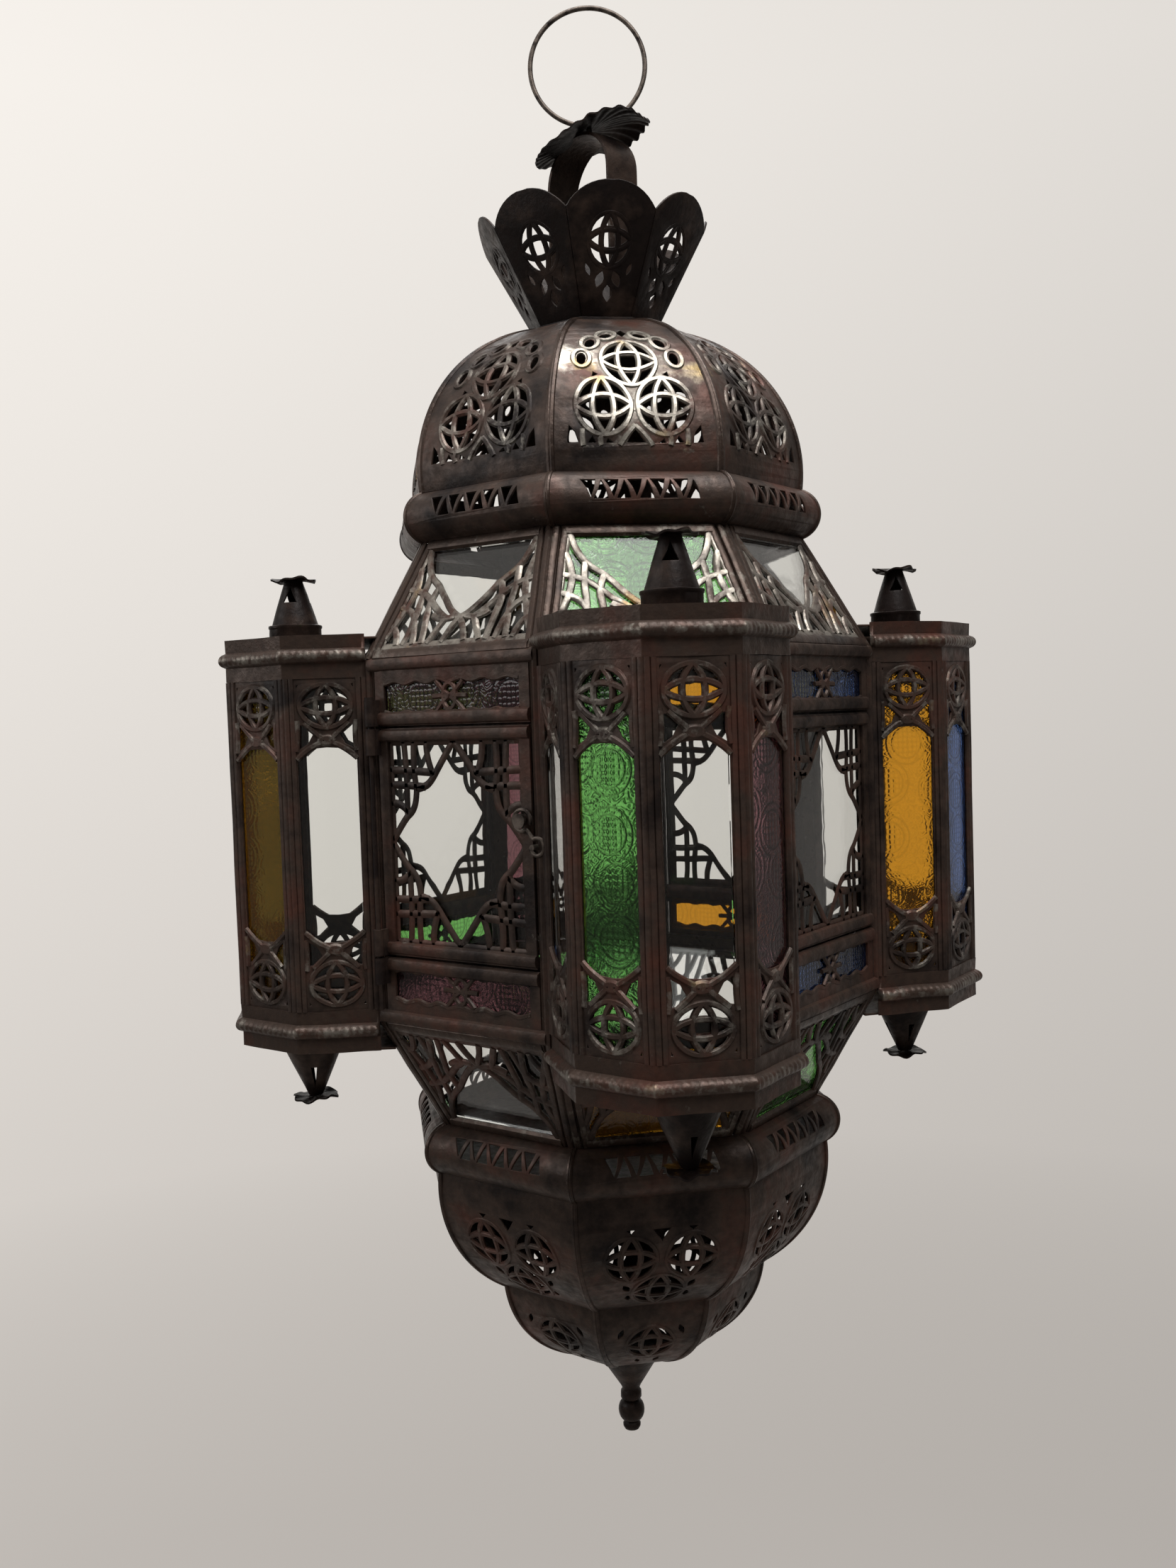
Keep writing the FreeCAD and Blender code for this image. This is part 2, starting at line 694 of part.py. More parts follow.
def band_pieces():
    """Pierced bands above and below each star window, and the glass strips behind them."""
    band, border = size("band_height"), size("band_border")
    upper = f"({DOOR_HEIGHT} + {band} + 2 * Sizes.slit)"
    window = (f"({FACE_WIDTH} - 2 * {border})", f"({band} - 2 * {border})")
    shapes = []
    for foot in ("0", upper):
        shapes.append(rectangle("0", foot, FACE_WIDTH, band))
        shapes.append(rectangle(border, total(foot, border), *window))
    face_plate("band_frames", FACE_WIDTH, total(BODY_FOOT, size("rail_height")), shapes, "0", SHEET, 0, 4)
    lap = size("glass_lap")
    width, height = f"({window[0]} + 2 * {lap})", f"({window[1]} + 2 * {lap})"
    strips = [rectangle("0", foot, width, height) for foot in ("0", upper)]
    foot = f"({BODY_FOOT} + Sizes.rail_height + {border} - {lap})"
    for index, colour in enumerate(BAND_GLASS):
        turn = 2 * index * FACE_TURN
        face_plate(f"band_glass_{colour}", width, foot, strips, PANE_INSET, size("glass"), turn)


def star_panel(label, width, turn, count, angle):
    """Frame, star-cut filigree and clear glass of one kind of star window."""
    border, lap, star_border = size("window_border"), size("glass_lap"), size("star_border")
    window_width, window_height = f"({width} - 2 * {border})", f"({DOOR_HEIGHT} - 2 * {border})"
    edge = rectangle("0", "0", width, DOOR_HEIGHT)
    window = rectangle(border, border, window_width, window_height)
    face_plate(f"{label}_frame", width, DOOR_FOOT, [edge, window], "0", SHEET, turn, count, angle)
    plate_width, plate_height = f"({window_width} + 2 * {lap})", f"({window_height} + 2 * {lap})"
    foot = f"({DOOR_FOOT} + {border} - {lap})"
    waist = f"(-{size('star_waist')})"
    star = [
        (f"({plate_width} / 2)", star_border, waist),
        (f"({plate_width} - {star_border})", f"({plate_height} / 2)", waist),
        (f"({plate_width} / 2)", f"({plate_height} - {star_border})", waist),
        (star_border, f"({plate_height} / 2)", waist),
    ]
    plate = rectangle("0", "0", plate_width, plate_height)
    face_plate(f"{label}_filigree", plate_width, foot, [plate, star], PANE_INSET, SHEET, turn, count, angle)
    behind = f"({PANE_INSET} + {PANE_INSET})"
    face_plate(f"{label}_glass", plate_width, foot, [plate], behind, size("glass"), turn, count, angle)


def box(label, width, depth, height, x, y, z, turn=0):
    """Make a block from expressions for its sizes and for its left, front and lower corner."""
    piece = doc.addObject("Part::Box", label)
    for side, expression in (("Length", width), ("Width", depth), ("Height", height)):
        piece.setExpression(side, expression)
    place(piece, turn, x, y, z)
    return piece


def rod(label, radius, length, x, y, z):
    """Make an upright round bar."""
    piece = doc.addObject("Part::Cylinder", label)
    piece.setExpression("Radius", radius)
    piece.setExpression("Height", length)
    place(piece, 0, x, y, z)
    return piece


def stud(label, radius, length, x, y, z):
    """Make a round bar that points out of the door's face."""
    piece = rod(label, radius, length, x, y, z)
    piece.Placement = FreeCAD.Placement(piece.Placement.Base, FreeCAD.Rotation(Vector(1, 0, 0), 90))
    return piece


def combine(kind, label, first, second):
    """Join two shapes or cut the second out of the first."""
    result = doc.addObject(f"Part::{kind}", label)
    result.Base = first
    result.Tool = second
    return result


def knuckle(label, foot):
    """A short tube on the hinge axis with a tab back to the plate behind it."""
    length, radius = size("knuckle_length"), size("knuckle_radius")
    tube = rod(f"{label}_tube", radius, length, HINGE_X, HINGE_Y, foot)
    tab_x = f"({HINGE_X} + Sizes.hinge_inset)"
    tab = box(f"{label}_tab", size("hinge_tab"), size("hinge_stand_off"), length, tab_x, HINGE_Y, foot)
    bore_radius = total(size("hinge_pin_radius"), size("running_clearance"))
    bore = rod(f"{label}_bore", bore_radius, length, HINGE_X, HINGE_Y, foot)
    return combine("Cut", label, combine("Fuse", f"{label}_solid", tube, tab), bore)


def hinge_pieces():
    """Knuckles on the door, eyes on the bands above and below it, and the pin through them."""
    length = size("knuckle_length")
    door_top = total(DOOR_FOOT, DOOR_HEIGHT)
    group("door_knuckles", [
        knuckle("lower_knuckle", DOOR_FOOT),
        knuckle("upper_knuckle", f"({door_top} - {length})"),
    ])
    lower = f"({DOOR_FOOT} - Sizes.slit - {length})"
    upper = total(door_top, size("slit"))
    group("hinge_eyes", [knuckle("lower_eye", lower), knuckle("upper_eye", upper)])
    pin_length = f"({DOOR_HEIGHT} + 2 * (Sizes.slit + {length}))"
    wire = rod("hinge_wire", size("hinge_pin_radius"), pin_length, HINGE_X, HINGE_Y, lower)
    head = rod("hinge_head", size("pin_head_radius"), size("pin_head_height"), HINGE_X, HINGE_Y,
               total(upper, length))
    keep(combine("Fuse", "hinge_pin", wire, head))


STUD_X = f"({DOOR_WIDTH} / 2 - Sizes.latch_stud_inset)"
STUD_Z = total(DOOR_FOOT, size("latch_height"))
PEG_X = f"({FACE_WIDTH} / 2 + Sizes.peg_inset)"
PEG_Z = f"({STUD_Z} - Sizes.latch_drop)"
LATCH_REACH = f"sqrt(({PEG_X} - {STUD_X})^2 + Sizes.latch_drop^2)"


def latch_pieces():
    """A headed stud on the door, a wire hook that turns on it and a plain peg on the post beside it."""
    front = f"(-{BODY})"
    wire, play = size("hook_wire"), size("play")
    neck = f"({wire} + 2 * {play})"
    shank = stud("latch_shank", size("latch_stud_radius"), neck, STUD_X, front, STUD_Z)
    head = stud("latch_head", size("latch_head_radius"), size("latch_head_height"), STUD_X,
                f"({front} - {neck})", STUD_Z)
    keep(combine("Fuse", "latch_stud", shank, head))
    keep(stud("latch_peg", size("peg_radius"), size("peg_length"), PEG_X, front, PEG_Z))
    latch_hook(wire, play)


def latch_hook(wire, play):
    """A ring on the stud, a shank towards the peg and a mouth that drops over it from above."""
    half, mouth = f"({wire} / 2)", size("hook_mouth")
    bore = total(size("latch_stud_radius"), size("running_clearance"))
    ring = total(bore, wire)
    lip = total(mouth, wire)
    ring_edge = f"sqrt({ring}^2 - {half}^2)"
    mouth_edge = f"sqrt({mouth}^2 - {half}^2)"
    lip_edge = f"sqrt({lip}^2 - {half}^2)"
    mouth_rise = f"({mouth} + sqrt({mouth}^2 - ({half}^2 + ({mouth} + {mouth_edge})^2) / 4))"
    lip_rise = f"({lip} - sqrt({lip}^2 - ({half}^2 + ({lip} + {lip_edge})^2) / 4))"
    body = new_body("latch_hook")
    sketch = new_sketch(body, "XZ_Plane", (STUD_X, STUD_Z, f"({BODY} + {play})"))
    turn = f"(180 deg + atan(({PEG_X} - {STUD_X}) / Sizes.latch_drop))"
    sketch.AttachmentOffset = FreeCAD.Placement(Vector(), FreeCAD.Rotation(UP, value(turn)))
    sketch.setExpression("AttachmentOffset.Rotation.Angle", turn)
    outline(sketch, [
        (f"(-{half})", ring_edge, f"({ring} + {ring_edge})"),
        (half, ring_edge),
        (half, f"({LATCH_REACH} - {mouth_edge})", f"(-{mouth_rise})"),
        ("0", f"({LATCH_REACH} + {mouth})"),
        ("0", f"({LATCH_REACH} + {lip})", lip_rise),
        (f"(-{half})", f"({LATCH_REACH} - {lip_edge})"),
    ])
    round_hole(sketch, "0", "0", bore)
    pad(body, sketch, wire)
    place(body, 0)
    keep(body)


# Turrets
def turret_place(piece, azimuth, turn):
    """Stand a piece drawn about its own axis on the axis of the turret at an azimuth."""
    place(piece, turn, f"({TURRET_AXIS} * sin({azimuth}))", f"(-{TURRET_AXIS} * cos({azimuth}))")


def turret_cornice(label, foot, azimuth):
    """Five mitred lengths of strip with a roll along the middle, open towards the body."""
    height, roll, bulge = size("cornice_height"), size("roll_height"), size("roll_bulge")
    back = f"({TURRET} - Sizes.cornice_depth)"
    body = octagon_ring(label, foot, [
        (back, "0"),
        (TURRET, "0"),
        (TURRET, f"(({height} - {roll}) / 2)", bulge),
        (TURRET, f"(({height} + {roll}) / 2)"),
        (TURRET, height),
        (back, height),
    ], f"({TURRET} + {bulge})", count=5, angle=180)
    reach = f"(2 * {TURRET})"
    behind = new_sketch(body, "XY_Plane", (f"-{reach}", f"-{reach}", "0"))
    outline(behind, rectangle("0", "0", f"(2 * {reach})", f"({reach} - {TURRET} * {HALF} + {SEAM})"))
    body.Tip = cut_through(body, behind)
    turret_place(body, azimuth, azimuth + 180)
    return body


def turret_deck(label, foot, overhang, azimuth):
    """The flat roof or floor of a turret, which runs back to the slope of the cone."""
    half = f"({TURRET} - Sizes.cornice_depth - {SEAM})"
    back = f"({TURRET} * {HALF} + ({overhang} - {SHEET}) * {CONE_SLOPE} - Sizes.roof_clearance)"
    corner = f"({half} * {HALF})"
    body = new_body(label)
    sketch = new_sketch(body, "XY_Plane", (f"-{half}", f"-{back}", foot))
    outline(sketch, [
        ("0", "0"),
        (f"(2 * {half})", "0"),
        (f"(2 * {half})", f"({back} + {corner})"),
        (f"({half} + {corner})", f"({back} + {half})"),
        (f"({half} - {corner})", f"({back} + {half})"),
        ("0", f"({back} + {corner})"),
    ])
    pad(body, sketch, SHEET)
    turret_place(body, azimuth, azimuth + 180)
    return body


def turret_stiles(name, azimuth):
    """Two strips that close the side faces of a turret where they meet the body."""
    stiles = []
    width = f"({TURRET} * {HALF} - {SEAM} - {PANE_WIDTH} / 2 - {SEAM})"
    for side, label in ((-1, "left"), (1, "right")):
        stile = doc.addObject("Part::Box", f"{name}_{label}_stile")
        stile.setExpression("Length", size("sheet"))
        stile.setExpression("Width", width)
        stile.setExpression("Height", TURRET_OPENING)
        across = f"({TURRET} - {SHEET})" if side > 0 else f"(-{TURRET})"
        inward = f"({TURRET_AXIS} - {TURRET} * {HALF} + {SEAM})"
        x = f"({across} * cos({azimuth}) + ({inward} + {width}) * sin({azimuth}))"
        y = f"({across} * sin({azimuth}) - ({inward} + {width}) * cos({azimuth}))"
        place(stile, azimuth, x, y, TURRET_SILL)
        stiles.append(stile)
    return stiles


def turret_frame(name, azimuth):
    """Posts, cornices, stiles, roof and floor of one turret."""
    outer = f"({TURRET} / {MITRE} - Sizes.turret_post_width / 2 * {HALF})"
    inner = f"({outer} - Sizes.turret_post_depth)"
    post = [(inner, "0"), (outer, "0"), (outer, TURRET_OPENING), (inner, TURRET_OPENING)]
    posts = corner_bars(f"{name}_posts", TURRET_SILL, post, size("turret_post_width"), 0, 4, 135)
    turret_place(posts, azimuth, azimuth + 180 + 22.5)
    pieces = [posts]
    pieces.append(turret_cornice(f"{name}_top_cornice", f"({TURRET_TOP} - Sizes.cornice_height)", azimuth))
    pieces.append(turret_cornice(f"{name}_bottom_cornice", TURRET_FOOT, azimuth))
    pieces.append(turret_deck(f"{name}_roof", f"({TURRET_TOP} - {SHEET})", size("turret_rise"), azimuth))
    pieces.append(turret_deck(f"{name}_floor", TURRET_FOOT, size("turret_drop"), azimuth))
    group(f"{name}_turret_frame", pieces + turret_stiles(name, azimuth))


def turret_filigree(name, azimuth):
    """A pierced medallion plate at the top and bottom of each face of one turret."""
    height, centre, hole = size("medallion_height"), size("medallion_centre"), size("medallion_hole")
    body = new_body(f"{name}_turret_filigree")
    offset = (f"-{PANE_WIDTH} / 2", TURRET_SILL, f"({TURRET} - {SHEET})")
    sketch = new_sketch(body, "XZ_Plane", offset)
    arch = f"({height} - Sizes.medallion_arch)"
    middle = f"({PANE_WIDTH} / 2)"
    outline(sketch, [("0", "0"), (PANE_WIDTH, "0"), (PANE_WIDTH, height), (middle, arch), ("0", height)])
    top = TURRET_OPENING
    high = f"({top} - {height})"
    outline(sketch, [("0", high), (middle, f"({top} - {arch})"), (PANE_WIDTH, high), (PANE_WIDTH, top),
                     ("0", top)])
    round_hole(sketch, middle, centre, hole)
    round_hole(sketch, middle, f"({top} - {centre})", hole)
    pad(body, sketch, SHEET)
    polar(body, 5, 180)
    turret_place(body, azimuth, azimuth - 90)
    keep(body)


def turret_panes():
    """The glass of the turrets, one node to a colour."""
    panes = {}
    for name, azimuth in TURRETS.items():
        for face, colour in enumerate(TURRET_GLASS[name]):
            normal = azimuth + (face - 2) * FACE_TURN
            out = f"({TURRET} - {SHEET} - {SEAM})"
            left = f"({PANE_WIDTH} / 2)"
            x = f"({TURRET_AXIS} * sin({azimuth}) + {out} * sin({normal}) - {left} * cos({normal}))"
            y = f"(-{TURRET_AXIS} * cos({azimuth}) - {out} * cos({normal}) - {left} * sin({normal}))"
            label = f"{name}_pane_{face}"
            pane = box(label, PANE_WIDTH, size("glass"), TURRET_OPENING, x, y, TURRET_SILL, normal)
            panes.setdefault(colour, []).append(pane)
    for colour, pieces in panes.items():
        group(f"turret_glass_{colour}", pieces)


def turret_finials():
    """The drum, cone and flower on each roof, and the hanging cone and flower under each floor."""
    radius = f"({TURRET_AXIS} + Sizes.finial_offset)"
    drum, foot, head = size("drum_radius"), size("cone_foot_radius"), size("cone_head_radius")
    flower, knob = size("flower_radius"), size("knob_radius")
    drum_top = size("drum_height")
    cone_top = total(drum_top, size("cone_length"))
    flower_top = total(cone_top, size("flower_thickness"))
    knob_top = total(flower_top, size("knob_height"))
    turned_piece("turret_top_finials", TURRET_TOP, [
        ("0", "0"),
        (drum, "0"),
        (drum, drum_top),
        (foot, drum_top),
        (head, cone_top),
        (flower, cone_top),
        (flower, flower_top),
        (knob, flower_top),
        (knob, knob_top),
        ("0", knob_top),
    ], radius, len(TURRETS), -FACE_TURN)
    low_flower = size("knob_height")
    low_cone = total(low_flower, size("flower_thickness"))
    low_top = total(low_cone, size("drop_cone_length"))
    turned_piece("turret_bottom_finials", f"({TURRET_FOOT} - {low_top})", [
        ("0", "0"),
        (knob, "0"),
        (knob, low_flower),
        (flower, low_flower),
        (flower, low_cone),
        (head, low_cone),
        (size("drop_cone_radius"), low_top),
        ("0", low_top),
    ], radius, len(TURRETS), -FACE_TURN)


# Candle holder
def candle_pieces():
    """The tray soldered inside the lower collar, and the cup that holds the candle."""
    tray = doc.addObject("Part::Prism", "candle_tray")
    tray.Polygon = 8
    tray.setExpression("Circumradius", f"(Sizes.bowl_rim_apothem - {SHEET} - {SEAM}) / {MITRE}")
    tray.setExpression("Height", size("tray_thickness"))
    place(tray, 22.5, z=BOWL_TOP)
    keep(tray)
    bore, floor, height = size("cup_bore_radius"), size("cup_floor"), size("cup_height")
    wall = total(bore, size("cup_wall"))
    pan = size("drip_pan_radius")
    turned_piece("candle_cup", total(BOWL_TOP, size("tray_thickness")), [
        ("0", "0"),
        (pan, "0"),
        (pan, SHEET),
        (wall, SHEET),
        (wall, height),
        (bore, height),
        (bore, floor),
        ("0", floor),
    ])


def check_and_write():
    """Refuse a failed object or shape, then write one file for each node."""
    doc.recompute()
    for piece in doc.Objects:
        if "Invalid" in piece.State or "Error" in piece.State:
            raise RuntimeError(f"{piece.Name} did not recompute: {piece.State}")
    for node in NODES:
        if node.Shape.isNull() or not node.Shape.isValid() or not node.Shape.Solids:
            raise RuntimeError(f"{node.Label} has no valid shape")
    os.makedirs("parts", exist_ok=True)
    for node in NODES:
        node.Shape.exportStep(os.path.join("parts", f"{node.Label}.step"))


def main():
    """Build every piece, check it and write it."""
    hanging_ring()
    handle_pieces()
    crown_pieces()
    gore_pieces()
    spike()
    cone_pieces()
    body_frame()
    band_pieces()
    star_panel("star", FACE_WIDTH, 90, 3, 180)
    star_panel("door", DOOR_WIDTH, 0, 1, 360)
    hinge_pieces()
    latch_pieces()
    for name, azimuth in TURRETS.items():
        turret_frame(name, azimuth)
        turret_filigree(name, azimuth)
    turret_panes()
    turret_finials()
    candle_pieces()
    check_and_write()


main()
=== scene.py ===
"""Looks of the hanging candle lantern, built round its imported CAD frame.

Flat pieces are drawn in millimetres, x across a face, y up it and z out of it, and are then laid on the
lantern's faces, slopes and gores. Heights are counted from the tip of the spike.
"""
import json
import math

import bpy
import numpy as np
from mathutils import Matrix, Vector, noise


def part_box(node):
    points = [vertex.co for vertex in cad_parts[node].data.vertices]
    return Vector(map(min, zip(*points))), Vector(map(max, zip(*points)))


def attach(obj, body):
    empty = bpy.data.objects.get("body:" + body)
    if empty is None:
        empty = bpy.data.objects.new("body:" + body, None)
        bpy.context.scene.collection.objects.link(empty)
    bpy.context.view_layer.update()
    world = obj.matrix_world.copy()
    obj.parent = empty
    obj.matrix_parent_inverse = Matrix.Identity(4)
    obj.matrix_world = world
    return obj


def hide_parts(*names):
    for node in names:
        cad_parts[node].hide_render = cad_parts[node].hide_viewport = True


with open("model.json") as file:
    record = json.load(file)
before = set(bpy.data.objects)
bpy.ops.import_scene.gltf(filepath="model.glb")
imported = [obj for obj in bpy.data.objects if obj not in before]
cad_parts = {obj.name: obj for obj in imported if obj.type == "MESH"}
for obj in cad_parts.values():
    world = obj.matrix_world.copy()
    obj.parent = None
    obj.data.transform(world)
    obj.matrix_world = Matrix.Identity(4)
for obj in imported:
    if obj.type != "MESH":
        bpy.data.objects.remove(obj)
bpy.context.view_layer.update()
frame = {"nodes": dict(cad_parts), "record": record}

bl_info = {
    "name": "Pierced Tin Candle Lantern",
    "version": (1, 0, 0),
    "blender": (4, 5, 0),
    "location": "3D View > Sidebar > Lantern",
    "description": "Models the pierced tin, rolled mouldings and coloured glass of a hanging lantern",
    "category": "Add Mesh",
}

MM = 0.001
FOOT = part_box("spike_finial")[0].z / MM
UP = np.array((0.0, 0.0, 1.0))
HALF_TAN = math.tan(math.radians(22.5))
DIAGONAL = math.sqrt(0.5)
FULL_TURN = 2 * math.pi

# Azimuths of the faces, from the door towards +X, and of the side that was scoured and soldered again and
# carries painted highlight
FACES = tuple(range(0, 360, 45))
STAR_FACES, TURRETS = FACES[::2], FACES[1::2]
DOOR_FACE, WINDOW_FACES = STAR_FACES[:1], STAR_FACES[1:]
SCOURED_AND_HIGHLIT = 45

# Levels and half widths of the CAD frame, in millimetres
SMALL_BOWL, SMALL_BOWL_BULGE = ((18.7, 43.0), (60.0, 86.0)), 10.3
BOWL, BOWL_BULGE = ((60.0, 86.0), (88.0, 144.0)), 9.2
LOWER_COLLAR = ((88.0, 144.0), (84.5, 165.5))
LOWER_CONE = ((84.5, 165.5), (111.0, 215.0))
UPPER_CONE = ((111.0, 368.0), (84.5, 417.5))
UPPER_COLLAR = ((84.5, 417.5), (84.5, 439.0))
COLLAR_BULGE = 7.6
DOME, DOME_BULGE = ((84.5, 439.0), (27.0, 515.0)), 19.3
CROWN = ((26.0, 517.0), (46.5, 557.0))
CANDLE_FOOT = 145.5
BODY = 111.0
BODY_FOOT, BODY_TOP = 215.0, 368.0
FACE_WIDTH, DOOR_WIDTH = 82.0, 80.4
DOOR_FOOT, DOOR_TOP = 244.0, 339.0
BAND_MIDDLES = (231.5, 351.5)
LATCH_STUD, LATCH_PEG = (36.217, 302.0), (43.217, 292.0)
TURRET, TURRET_AXIS, FINIAL_AXIS = 42.0, 128.4, 141.4
TURRET_FOOT, TURRET_TOP = 202.0, 379.0
CORNICE = 18.0
CORNICE_FEET = (TURRET_FOOT, TURRET_TOP - CORNICE)
NECK_TOP, STRAP_TOP = 516.5, 604.5
RING, RING_WIRE = 26.2, 1.1
RING_TURN, HANDLE_TURN = 35.0, -15.0

# Hand work: swell of a lace's lenses to its radius, flare of the turrets, seed of the dents, middle of a
# cornice's roll, and distance of the medallions in the pressed glass
LENS = 0.38
FLARE = 4.0
DENT_SEED = 7
ROLL_MIDDLE = 9.2
MEDALLION = TURRET_AXIS * DIAGONAL / 4

# Finishes, which one each slot of the record takes, and the nodes that are blackened all the same
PATINATED, BLACKENED = "Patinated tin plate", "Blackened tin plate"
WORN, RUSTED = "Worn tin plate", "Rusted tin plate"
WIRE, CLEAR = "Drawn iron wire", "Clear window glass"
TINTS = ("green", "amber", "purple", "blue")
COATS = {"patinated_tin": PATINATED, "dark_tin": BLACKENED, "worn_tin": WORN, "iron_wire": WIRE,
         "clear_glass": CLEAR, **{f"{tint}_glass": f"Pressed {tint} glass" for tint in TINTS}}
HINGE = ("door_knuckles", "hinge_eyes", "hinge_pin")

# The camera: its place in metres, its turns about Z, Y and X in degrees, and its focal length in widths
EYE = (0.36603, -0.52138, -0.31944)
EYE_TURNS = ((35.94, "Z"), (1.93, "Y"), (-2.93, "X"))
FOCAL = 1922.87 / 1659.0


def linear(code):
    """Turn an sRGB hex colour into linear red, green and blue."""
    channels = [int(code[place:place + 2], 16) / 255 for place in (1, 3, 5)]
    return tuple(c / 12.92 if c <= 0.04045 else ((c + 0.055) / 1.055) ** 2.4 for c in channels)


def length(name, description, millimetres):
    """A length that a user can change."""
    return bpy.props.FloatProperty(name=name, description=description, default=millimetres * MM,
                                   min=0.0001, unit="LENGTH", precision=4)


def colour(name, description, code):
    """A colour that a user can change."""
    return bpy.props.FloatVectorProperty(name=name, description=description, default=linear(code),
                                         size=3, min=0.0, max=1.0, subtype="COLOR")


class LanternSizes(bpy.types.PropertyGroup):
    """Sizes of the tinsmith's strips, rolls and sheets."""

    sheet: length("Sheet", "Thickness of the pierced tin sheet", 1.0)
    strip: length("Strip", "Width of the strips left between the holes", 2.6)
    roll: length("Roll", "Width of the rolled mouldings round the body", 6.0)
    fold: length("Fold", "Width of the folded edges that hold the glass", 3.2)
    dents: length("Dents", "Height of the dents left by hand work", 0.35)
    cap: length("Cap", "Radius of the pleated cap", 26.0)
    flower: length("Flower", "Radius of the flower discs on the finials", 10.4)


class LanternColours(bpy.types.PropertyGroup):
    """Colours of the patina, the bare tin and the glass."""

    patina: colour("Patina", "Brown patina of the tin", "#42352e")
    shadow: colour("Dark patina", "Blackened tin in the hollows", "#1f1816")
    rust: colour("Rust", "Red rust that stains the patina", "#50332a")
    # Bare tin also serves as painted highlight on raised edges, cornice rolls and the scoured gore
    bare_and_highlit: colour("Bare tin", "Worn silvery tin", "#a19b91")
    solder: colour("Solder", "Yellowed flux round the solder", "#9a8250")
    wire: colour("Wire", "Drawn iron wire", "#6a6058")
    clear: colour("Clear glass", "Clear window glass", "#fcfdfb")
    green: colour("Green glass", "Pressed green glass", "#84d272")
    amber: colour("Amber glass", "Pressed amber glass", "#eca830")
    purple: colour("Purple glass", "Pressed purple glass", "#8a5d64")
    blue: colour("Blue glass", "Pressed blue glass", "#5270ad")
    backdrop: colour("Backdrop", "Pale wall above the lantern", "#f8f3ed")
    ground: colour("Ground", "Pale floor below the lantern", "#c9c3bd")


def size(name):
    """One of the lantern's sizes, in millimetres."""
    return getattr(bpy.context.scene.lantern_sizes, name) / MM


def paint(name):
    """One of the lantern's colours with full alpha."""
    return (*getattr(bpy.context.scene.lantern_colours, name), 1.0)


# Handling of meshes
def placed(name, data):
    """Put a new object of some data in the scene."""
    item = bpy.data.objects.new(name, data)
    bpy.context.scene.collection.objects.link(item)
    return item


def select(*pieces):
    """Select some pieces alone and make the first one active."""
    bpy.ops.object.select_all(action="DESELECT")
    for piece in pieces:
        piece.select_set(True)
    bpy.context.view_layer.objects.active = pieces[0]


def clean(piece, gap=0.001):
    """Merge doubled points and turn all faces outwards."""
    select(piece)
    bpy.ops.object.mode_set(mode="EDIT")
    bpy.ops.mesh.select_all(action="SELECT")
    bpy.ops.mesh.remove_doubles(threshold=gap)
    bpy.ops.mesh.normals_make_consistent(inside=False)
    bpy.ops.object.mode_set(mode="OBJECT")
    return piece


def points_of(piece):
    """All points of a piece."""
    points = np.empty(len(piece.data.vertices) * 3)
    piece.data.vertices.foreach_get("co", points)
    return points.reshape(-1, 3)


def reshape(piece, mapping):
    """Send all points of a piece through a mapping."""
    piece.data.vertices.foreach_set("co", mapping(points_of(piece)).ravel())
    piece.data.update()
    return piece


def lifted(piece, height):
    """Lift a flat piece."""
    return reshape(piece, lambda points: points + height * UP)


def joined(name, pieces):
    """Join pieces into one."""
    select(*pieces)
    if len(pieces) > 1:
        bpy.ops.object.join()
    pieces[0].name = name
    pieces[0].data.name = name
    return pieces[0]


def spread(name, flat, mappings, worn_and_sheen=None):
    """Copy a flat piece through each mapping, each copy with its own mesh and its own amount of scuffing and
    painted highlight, and join the copies.
    """
    copies = []
    for mapping, wear_and_sheen in zip(mappings, worn_and_sheen or [0.0] * len(mappings)):
        copy = placed(name, flat.data.copy())
        add_to_layer(copy, wear_and_sheen)
        copies.append(reshape(copy, mapping))
    bpy.data.objects.remove(flat)
    return joined(name, copies)


def wears_and_sheen(scoured, others=0.0, face=SCOURED_AND_HIGHLIT):
    """Scuffing and painted highlight of all faces, of which one was scoured and carries more of both."""
    return [scoured if azimuth == face else others for azimuth in FACES]


def add_to_layer(piece, amount, kind="wear_and_sheen"):
    """Add to a layer of a piece, by default the one that says how far its patina is scuffed away and painted
    with highlight, by a number or by a function of its points.
    """
    layer = piece.data.attributes.get(kind) or piece.data.attributes.new(kind, "FLOAT", "POINT")
    worn_and_sheen = np.empty(len(piece.data.vertices), dtype=np.float32)
    layer.data.foreach_get("value", worn_and_sheen)
    if callable(amount):
        amount = amount(points_of(piece))
    layer.data.foreach_set("value", (worn_and_sheen + amount).astype(np.float32))


def hammer(piece, height, width=14.0):
    """Dent a piece, whose points are in metres, by hand-work noise of a height and width in millimetres."""
    noise.seed_set(DENT_SEED)
    scale = 1 / (width * MM)
    for vertex in piece.data.vertices:
        vertex.co += noise.noise_vector(vertex.co * scale) * height * MM
    piece.data.update()
    return piece


def finish(piece, coat, body="lantern", stands_for=(), angle=40):
    """Turn the faces outwards, shade and coat a piece, and let it ride on its body."""
    clean(piece, 0.002 * MM)
    bpy.ops.object.shade_smooth_by_angle(angle=math.radians(angle))
    piece.data.materials.clear()
    piece.data.materials.append(bpy.data.materials[coat])
    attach(piece, body)
    if stands_for:
        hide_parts(*stands_for)


# Ways to lay flat pieces on the lantern
def straight(low, high):
    """Profile of a flat face or slope between two (radius, height) points, and its length."""
    span = math.dist(low, high)
    across, rise = (high[0] - low[0]) / span, (high[1] - low[1]) / span

    def profile(way):
        level = np.ones_like(way)
        return low[0] + across * way, low[1] + rise * way, rise * level, -across * level

    return profile, span


